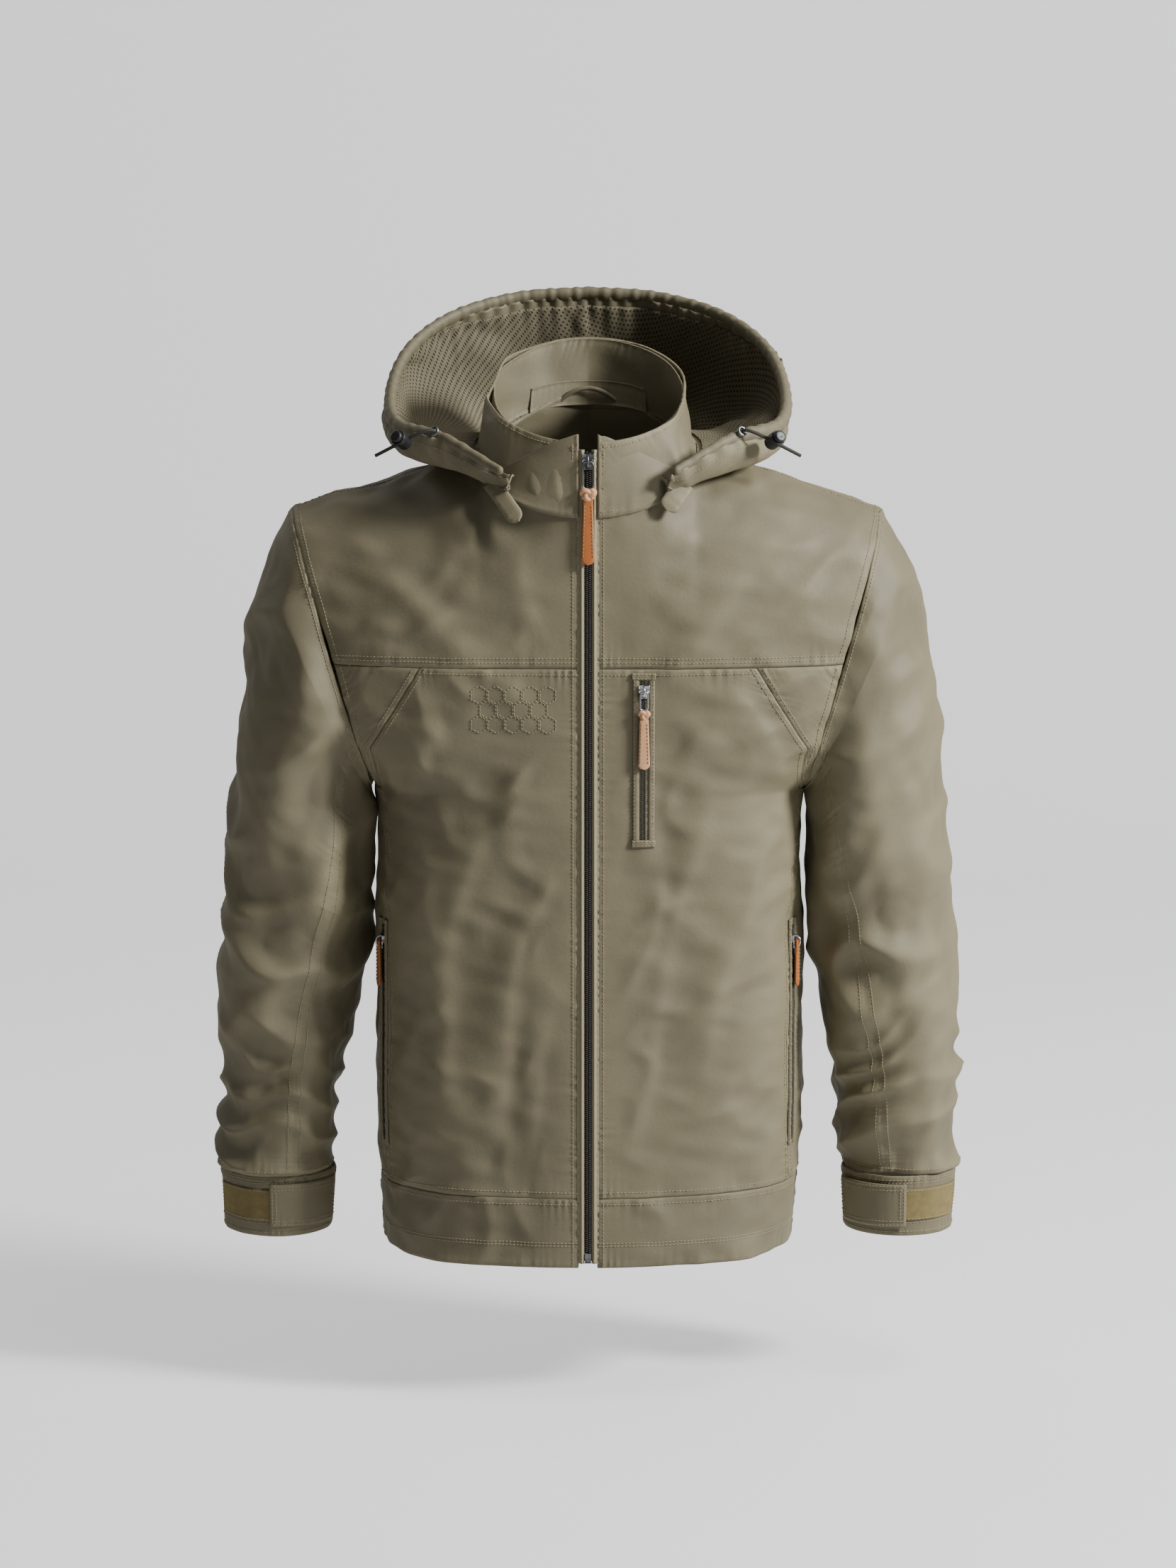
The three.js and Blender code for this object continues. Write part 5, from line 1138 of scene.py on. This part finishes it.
def build_sleeves():
    """Each sleeve is one closed tube that bends from the body at its armhole; its cuff, strip and tab ride on it."""
    f = finishes()
    for word, s in SIDES:
        cols, rows = 168, 230
        angle = np.linspace(0, 2 * np.pi, cols, endpoint=False)[None]
        along = lerp(0.0, 0.998, dense_ends(rows))[:, None]
        angle, along = np.broadcast_arrays(angle, along)
        p = mirrored(arm(angle, along), s)
        own = smooth(along / 0.16)
        extra = sleeve_relief(angle, along, p) * own + drape(p, fold_depth()) * (1 - own)
        radius = 0.5 * np.linalg.norm(p - np.roll(p, cols // 2, axis=1), axis=-1)
        length = along * 600
        for back in (False, True):
            near = np.abs(angle - seam_angle(along, back)) * radius
            pucker = bpy.context.scene.jacket_look.pucker_depth * 1000
            extra = extra + 0.9 * seam_relief(near, length, 2.0 + back, pucker)
        sleeve = Cloth(p, "BT", s, wrap=True, folds=0, extra=extra)
        for back in (False, True):
            near = np.abs(angle - seam_angle(along, back)) * radius
            sleeve.wear = np.maximum(sleeve.wear, np.exp(-near / 9))
        start = Vector(((ARMHOLE * [s, 1, 1]) - HANGER) / 1000)
        end = start + Vector(PLANE * [s, 1, 1]) * 0.11 + Vector((0, 0, -0.06))
        bend = ("root", "sleeve_" + word, start, end)
        settle(sleeve.build("sleeve_cloth_" + word, f["shell_cloth"], 1.5), bend, "shell_cloth", "sleeve_" + word)
        lines = [sleeve.line("B", 5), sleeve.line("T", 4.5)]
        for back in (False, True):
            for off in (-5, 5):
                at = (seam_angle(along[:, 0], back) + off / radius.mean(axis=1)) / (2 * np.pi) * cols
                k, t = np.floor(at).astype(int) % cols, (at % 1)[:, None]
                both = np.concatenate([sleeve.p, sleeve.n], axis=-1)
                row = np.arange(len(both))
                lines.append(lerp(both[row, k], both[row, (k + 1) % cols], t)[4:-4])
        settle(stitches("stitching_sleeve_" + word, lines, f["thread"]), bend, None)

        angle, down = np.broadcast_arrays(np.linspace(0, 2 * np.pi, 180, endpoint=False)[None],
                                          dense_ends(36)[:, None])
        band = Cloth(mirrored(cuff(angle, down), s), "BT", s, wrap=True, folds=0.35, lift=0.4)
        body = "sleeve_" + word
        settle(band.build("cuff_band_" + word, f["band_cloth"], 2.4), body, "band_cloth", "cuff_" + word)
        lines = [band.line("B", 4), band.line("B", 6.5), band.line("T", 4), band.line("T", 12)]
        def patch(first, last, low, high, lift, cols=60, rows=28):
            a, d = np.meshgrid(np.radians(np.linspace(first, last, cols)), np.linspace(low, high, rows))
            p = cuff(a, d)
            out = unit(stack(p[..., 0] - 272, p[..., 1], 0))
            return mirrored(p + lift * out, s)
        strip_cloth = Cloth(patch(15, 110, 0.22, 0.74, 1.5), "", s, folds=0.35)
        settle(strip_cloth.build("cuff_strip_" + word, f["loop_pile"], 1.1), body, "loop_pile", "loop_strip_" + word)
        lines += [strip_cloth.line(b, 1.4) for b in "BTLR"]
        settle(stitches("stitching_cuff_" + word, lines, f["thread"]), body, None)
        tab = Cloth(patch(85, 165, 0.12, 0.84, 3.3), "LRBT", s, folds=0, pucker=0.35)
        settle(tab.build("tab_" + word, f["band_cloth"], 1.6), "cuff_tab_" + word, "band_cloth", "cuff_tab_" + word)
        rows = [tab.line(b, d)[2:-2] for b in "BTLR" for d in (2.2, 5.5)]
        settle(stitches("stitching_tab_" + word, rows, f["thread"]), "cuff_tab_" + word, None)


# ---------- collar and hood ----------
def build_collar():
    """The stand collar, its inner facing with a plain panel at the back, and the hanger loop."""
    f = finishes()
    def ring(low, high, start, cols=150, rows=40):
        up = lerp(low, high, dense_ends(rows))[:, None]
        halves = []
        for s in (-1, 1):
            first = np.arcsin(np.clip(start / lerp(NECK_X, COLLAR_X, up), 0, 1))
            u = np.linspace(0, 1, 3 * cols + 1)[None]
            halves.append(mirrored(even(collar(lerp(np.pi, first, u), up + 0 * u), cols), s))
        return joined(*halves)
    base = ring(0.02, 1, FRONT_X)
    soft = 2.1 * creases(base, 61, 60, lean=(1, 1, 0.6)) + 1.3 * waves(base, 62, 70)
    soft = soft * smooth((np.abs(base[..., 0]) - 9) / 25) * smooth(np.linspace(-0.1, 3, len(base)))[:, None]
    outer = Cloth(base, "BTLR", -1, folds=0, lift=0.5, extra=0.7 * fold_depth() * soft)
    settle(outer.build("collar", f["shell_cloth"], 1.8), "root", "shell_cloth", "collar_shell")
    inside = ring(0.05, 0.985, 15)
    inner = Cloth(inside, "BT", -1, folds=0, lift=-2.4, extra=0.7 * waves(inside, 63, 45))
    settle(inner.build("collar_inside", f["shell_cloth"], 1.2), "root", "shell_cloth", "collar_facing")
    up, angle = np.linspace(0.05, 0.4, 30)[:, None], np.linspace(-0.62, 0.62, 70)[None]
    p = collar(np.pi - np.abs(angle), up + 0 * angle)
    p[..., 0] *= np.where(angle < 0, -1, 1)
    panel = Cloth(p, "LRBT", -1, folds=0, lift=-4.0, pucker=0.3)
    settle(panel.build("collar_panel", f["shell_cloth"], 0.8), "root", "shell_cloth")
    lines = [outer.line("T", 4.5), outer.line("B", 4), outer.line("L", 5), outer.line("R", 5)]
    settle(stitches("stitching_collar", lines, f["thread"]), "root", None)
    share = np.linspace(-1, 1, 40)
    angle, rise = np.pi - np.abs(share) * 0.26, 1 - share**2
    path = collar(angle, 0.14 + 0.16 * rise) - stack(0, 4.2 + 6 * rise, 0)
    path[:, 0] *= np.where(share < 0, -1, 1)
    settle(make("hanging_loop", *merged(sweep(path, 2.0, section=16, squash=0.8)), f["band_cloth"]),
           "root", "band_cloth",
           "hanger_loop")


HOOD_BEND = ("root", "hood", Vector((0, 0.0136, 0)), Vector((0, 0.0856, 0)))


def gather(share):
    """Ruffles: one sine whose phase is shifted by two slower ones."""
    return np.sin(2 * np.pi * share * 31 + 1.6 * np.sin(9 * share) + 0.9 * np.sin(23 * share + 1))


def build_hood():
    """The hood laid back, its mesh lining, and the gathered channel of elastic along its rim."""
    f = finishes()
    share, out = np.meshgrid(np.linspace(-0.999, 0.999, 401), dense_ends(96))
    p = hood_at(share, out)
    beyond = unit(p[-1] - p[-3])
    p = np.concatenate([p, p[-1:] + 2.2 * beyond, p[-1:] + 4.6 * beyond])
    share = np.concatenate([share, share[:2]])
    near = along_rows(p.swapaxes(0, 1)).T
    rim = near[-1:] - near
    depth = fold_depth()
    loose = smooth(near / 30)
    extra = depth * loose * (1.5 * waves(p, 51, 110) + 2.2 * creases(p, 53, 90) + 0.9 * creases(p, 54, 55) - 0.5)
    extra = extra + 1.7 * gather(share) * np.exp(-rim / 13)
    wide = 0.35 * np.hypot(near[-1:], 600)
    for at in (-0.3, 0.3):
        beside = np.abs(share - at) * wide
        extra = extra + 0.8 * seam_relief(beside, near, 1.0 + at, bpy.context.scene.jacket_look.pucker_depth * 1000)
    shell = Cloth(p, "B", -1, folds=0, extra=extra)
    settle(shell.build("hood", f["shell_cloth"], 1.3), HOOD_BEND, "shell_cloth", "hood_shell")
    inner = Cloth(p[8:-3, 24:-24], "", -1, folds=0, extra=extra[8:-3, 24:-24], lift=-2.3)
    settle(inner.build("hood_mesh", f["mesh_lining"], 0.8), HOOD_BEND, "mesh_lining", "hood_lining")
    lines = [shell.line("T", 8), shell.line("B", 6)]
    both = np.concatenate([shell.p, shell.n], axis=-1)
    for at in (-0.3, 0.3):
        for off in (-5, 5):
            column = (at + off / wide.mean() + 0.999) / 1.998 * 400
            k, t = int(column), column % 1
            lines.append(lerp(both[:, k], both[:, k + 1], t)[4:-3])
    settle(stitches("stitching_hood", lines, f["thread"]), HOOD_BEND, None)
    share = np.linspace(-0.985, 0.985, 620)
    radius = 6.4 + 0.4 * gather(share) + 0.2 * gather(1.7 * share + 0.3)
    radius = radius * lerp(1, 0.62, smooth((np.abs(share) - 0.8) / 0.18))
    tube = sweep(channel_at(share) - 2.6 * unit(channel_at(share) - hood_at(share, np.full_like(share, 0.9))), radius,
                 section=28, squash=0.78)
    settle(make("hood_gather", *merged(tube), f["band_cloth"]), HOOD_BEND, "band_cloth", "hood_channel")
    elastic = sweep(channel_at(np.linspace(-0.94, 0.94, 200)), 1.5, section=10)
    settle(make("hood_cord", *merged(elastic), f["elastic_cord"]), HOOD_BEND, "elastic_cord", "hood_elastic")


CORD = 3.0


def cord_route(s):
    """The eyelet's place and directions, and the way of the cord out of it, down and along."""
    middle = channel_at(s * 0.86)
    tangent = unit(channel_at(s * 0.87) - middle)
    out = np.array([0, -1, 0.25])
    out = unit(out - np.dot(out, tangent) * tangent)
    along = unit(np.array([s * 0.85, 0.25, -0.46]))
    start = middle + (6.1 + 1.6 + 0.3) * out
    bend = start + 6 * out + 8 * along
    return middle, tangent, out, along, start, bend


def build_cords():
    """Brass-backed eyelets, elastic cord ends, and the barrel locks with their buttons."""
    f = finishes()
    for word, s in SIDES:
        middle, tangent, out, along, start, bend = cord_route(s)
        ring = [(2.35, 5.6), (4.4, 5.6), (4.8, 6.2), (4.7, 6.9), (4.2, 7.6), (3.4, 7.9), (2.7, 7.6),
                (2.35, 6.9), (2.35, 5.6)]
        eyelet = make("eyelet_ring_" + word, *merged(lathe(ring, frame_at(middle, tangent, out))), f["gunmetal"])
        settle(eyelet, "hood", "gunmetal", "eyelet_" + word)
        points = np.array([start, start + 3 * out, bend] + [bend + far * along for far in (8, 16, 24, 32, 40, 46)])
        curve = bpy.data.curves.new("cord_" + word, "CURVE")
        curve.dimensions, curve.bevel_depth, curve.bevel_resolution, curve.use_fill_caps = "3D", CORD / 2000, 4, True
        spline = curve.splines.new("NURBS")
        spline.points.add(len(points) - 1)
        for knot, place in zip(spline.points, (points - HANGER) / 1000):
            knot.co = (*place, 1)
        spline.use_endpoint_u, spline.order_u, spline.resolution_u = True, 4, 8
        curve.materials.append(f["elastic_cord"])
        cord = bpy.data.objects.new("cord_" + word, curve)
        bpy.context.scene.collection.objects.link(cord)
        settle(cord, "hood", "elastic_cord", "cord_end_" + word)
        m = frame_at(bend + 18 * along, along, [0, -0.8, 0.6])
        body = [(0, -5), (4.6, -5), (5.8, -4.6), (6.3, -3.6), (6.5, -2), (6.3, -1), (6.3, 1), (6.5, 2.4), (6.5, 9.2),
                (6.2, 9.8), (5.6, 9.8), (5.5, 9.2), (5.5, 4.2), (0, 4.2)]
        lock = make("lock_" + word, *merged(lathe(body, m)), f["black_plastic"])
        settle(lock, "cord_lock_" + word, "black_plastic", "cord_lock_" + word)
        top = [(0, 7.3), (5.1, 7.3), (5.2, 7.6), (5.2, 12.4), (5.0, 13.2), (4.4, 13.8), (3.4, 14), (0, 13.6)]
        button = make("button_" + word, *merged(lathe(top, m)), f["black_plastic"])
        settle(button, "lock_button_" + word, "black_plastic", "lock_button_" + word)
        far = (points[-1] - HANGER) / 1000


def build_marks():
    """Tonal honeycomb embroidery on the chest and one sleeve, and the two small tabs at the neck."""
    f, lines = finishes(), []
    t = np.linspace(0, 1, 7)[:-1]
    for row in range(3):
        for column in range(5 - row % 2):
            x0, z0 = -92 + 14.5 * (column + 0.5 * (row % 2)), 493 - 12.6 * row
            corners = np.array([(x0 + 7.6 * math.sin(a), z0 + 7.6 * math.cos(a)) for a in np.arange(7) * np.pi / 3])
            path = np.concatenate([lerp(corners[i], corners[i + 1], t[:, None]) for i in range(6)] + [corners[:1]])
            p, n = skin(-1, -path[:, 0], path[:, 1], 0.15)
            lines.append(np.concatenate([p, n], axis=1))
    settle(stitches("honeycomb", lines, f["thread"]), "root", None)
    for word, angle, width, long in (("left", -0.62, 15, 44), ("right", 0.66, 18, 30)):
        u, v = np.meshgrid(np.linspace(-1, 1, 24), np.linspace(0, 1, 44))
        base = hood_at(np.array(math.copysign(0.9, angle)), np.array(0.04))
        aim = unit(np.array([0.55 if angle < 0 else -0.5, -0.42, -0.72]))
        across = unit(np.cross(aim, [0, 1, 0]))
        up = unit(np.cross(across, aim))
        end = np.where(v > 0.8, np.sqrt(np.maximum(0.03, 1 - ((v - 0.8) / 0.2) ** 2)), 1)
        p = base + 7 * up * -1 + long * (v - 0.1)[..., None] * aim + (u * width / 2 * end)[..., None] * across
        p = p + (3 * np.sin(v * 2.6) * (1 - 0.3 * u**2))[..., None] * np.array([0, -1, 0.2])
        n = np.cross(np.gradient(p, axis=1), np.gradient(p, axis=0))
        sign = 1 if n[..., 1].mean() < 0 else -1
        flap = Cloth(p, "LR", sign, folds=0, pucker=0.3)
        settle(flap.build("neck_tab_" + word, f["shell_cloth"], 1.6), "root", "shell_cloth")


# ---------- stage ----------
def build_stage():
    """A pale sweep of floor and backdrop, soft lights from the upper right, and the camera."""
    look, scene = bpy.context.scene.jacket_look, bpy.context.scene
    turn = np.linspace(0, np.pi / 2, 24)
    bend = [(2.2 + 1.2 * math.sin(a), -0.86 + 1.2 - 1.2 * math.cos(a)) for a in turn]
    line = [(-8.0, -0.86)] + bend + [(3.4, 5.0)]
    verts = np.array([(x * 1000, y * 1000, z * 1000) for y, z in line for x in (-7, 7)]) + HANGER
    paper = grained("backdrop", (0.6, 0.6, 0.6), 0.9, scale=30, depth=0.0001, spread=0.01)
    tree = paper.node_tree
    shader = tree.nodes["Principled BSDF"]
    shader.inputs["Emission Color"].default_value = (1, 1, 1, 1)
    seen = node(tree, "LightPath").outputs["Is Camera Ray"]
    tree.links.new(scaled(tree, seen, 0.06, 0.72), shader.inputs["Emission Strength"])
    floor = make("backdrop", verts, quads(len(line), 2)[:, ::-1], paper)
    for word, place, size, power in (("key", (3.1, -1.35, 1.55), 0.8, 250), ("fill", (-1.6, -3.8, 0.4), 2.4, 3),
                                     ("top", (1.1, -0.8, 2.5), 1.1, 30), ("rim", (-2.1, 1.2, 1.3), 1.2, 9)):
        lamp = bpy.data.lights.new(word, "AREA")
        lamp.shape, lamp.size, lamp.energy = "DISK", size, power * look.light
        held = bpy.data.objects.new(word, lamp)
        held.location = place
        held.rotation_euler = (Vector((0, -0.05, -0.3)) - Vector(place)).to_track_quat("-Z", "Y").to_euler()
        scene.collection.objects.link(held)
    world = bpy.data.worlds.new("studio")
    world.use_nodes = True
    world.node_tree.nodes["Background"].inputs["Color"].default_value = (0.95, 0.97, 1.0, 1)
    world.node_tree.nodes["Background"].inputs["Strength"].default_value = 0.1 * look.light
    scene.world = world
    lens = bpy.data.cameras.new("camera")
    lens.sensor_fit, lens.angle, lens.dof.use_dof = "VERTICAL", math.radians(17.25), False
    view = bpy.data.objects.new("camera", lens)
    view.location = (0.0, -look.distance, 0.41)
    view.rotation_euler = (Vector((0, -0.185, -0.317)) - view.location).to_track_quat("-Z", "Y").to_euler()
    scene.collection.objects.link(view)
    scene.camera = view


# ---------- the add-on ----------
class JacketLook(bpy.types.PropertyGroup):
    cloth_colour: FloatVectorProperty(name="Cloth", description="Colour of the shell cloth",
                                      subtype="COLOR", size=3,
                                      min=0, max=1, default=(0.175, 0.152, 0.09))
    leather_colour: FloatVectorProperty(name="Leather", description="Colour of the zip straps",
                                        subtype="COLOR", size=3,
                                        min=0, max=1, default=(0.43, 0.13, 0.028))
    fold_depth: FloatProperty(name="Folds", description="Depth of the cloth's folds",
                              unit="LENGTH", default=0.0027)
    pucker_depth: FloatProperty(name="Puckers", description="Depth of the puckers beside a seam", unit="LENGTH",
                                default=0.0008)
    stitch_pitch: FloatProperty(name="Stitch", description="Length of a stitch and its gap",
                                unit="LENGTH", default=0.0032)
    thread: FloatProperty(name="Thread", description="Thickness of the thread", unit="LENGTH", default=0.00085)
    tooth_pitch: FloatProperty(name="Tooth", description="Pitch of the front zip's teeth",
                               unit="LENGTH", default=0.0017)
    light: FloatProperty(name="Light", description="Strength of all lights together", default=1.0, min=0)
    distance: FloatProperty(name="Camera", description="Camera's distance in front of the hanger",
                            unit="LENGTH", default=4.48)


def operator(word, label, build):
    """An operator class that runs one builder, with the builder's docstring as its own."""
    def execute(self, context):
        build()
        return {"FINISHED"}
    return type("JACKET_OT_" + word, (bpy.types.Operator,),
                {"bl_idname": "jacket." + word, "bl_label": label, "__doc__": build.__doc__, "execute": execute})


OPERATORS = [
    operator("torso", "Torso panels", build_torso),
    operator("lining", "Mesh lining", build_lining),
    operator("zip", "Front zip", build_zip),
    operator("pulls", "Sliders and straps", build_pulls),
    operator("pockets", "Pockets", build_pockets),
    operator("sleeves", "Sleeves and cuffs", build_sleeves),
    operator("collar", "Collar", build_collar),
    operator("hood", "Hood", build_hood),
    operator("cords", "Cords and locks", build_cords),
    operator("marks", "Embroidery and tabs", build_marks),
    operator("stage", "Stage", build_stage),
]


class JACKET_PT_panel(bpy.types.Panel):
    """Lists the jacket's pieces and its sizes in the sidebar."""

    bl_idname = "JACKET_PT_panel"
    bl_label = "Beekeeping jacket"
    bl_space_type = "VIEW_3D"
    bl_region_type = "UI"
    bl_category = "Jacket"

    def draw(self, context):
        for word in JacketLook.__annotations__:
            self.layout.prop(context.scene.jacket_look, word)
        for made in OPERATORS:
            self.layout.operator(made.bl_idname)


def register():
    for made in (JacketLook, *OPERATORS, JACKET_PT_panel):
        bpy.utils.register_class(made)
    bpy.types.Scene.jacket_look = PointerProperty(type=JacketLook)


def unregister():
    del bpy.types.Scene.jacket_look
    for made in reversed((JacketLook, *OPERATORS, JACKET_PT_panel)):
        bpy.utils.unregister_class(made)


def plain_finishes():
    """The CAD pieces that still show take the finish of their slot."""
    for part in frame["record"]["subparts"]:
        held = frame["nodes"].get(part["node"])
        if held and held.type == "MESH":
            held.data.materials.clear()
            held.data.materials.append(finishes()[part["material_slot"]])


def main():
    register()
    for made in OPERATORS:
        getattr(bpy.ops.jacket, made.bl_idname.split(".")[1])()
    plain_finishes()
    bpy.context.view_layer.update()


if __name__ == "__main__":
    main()
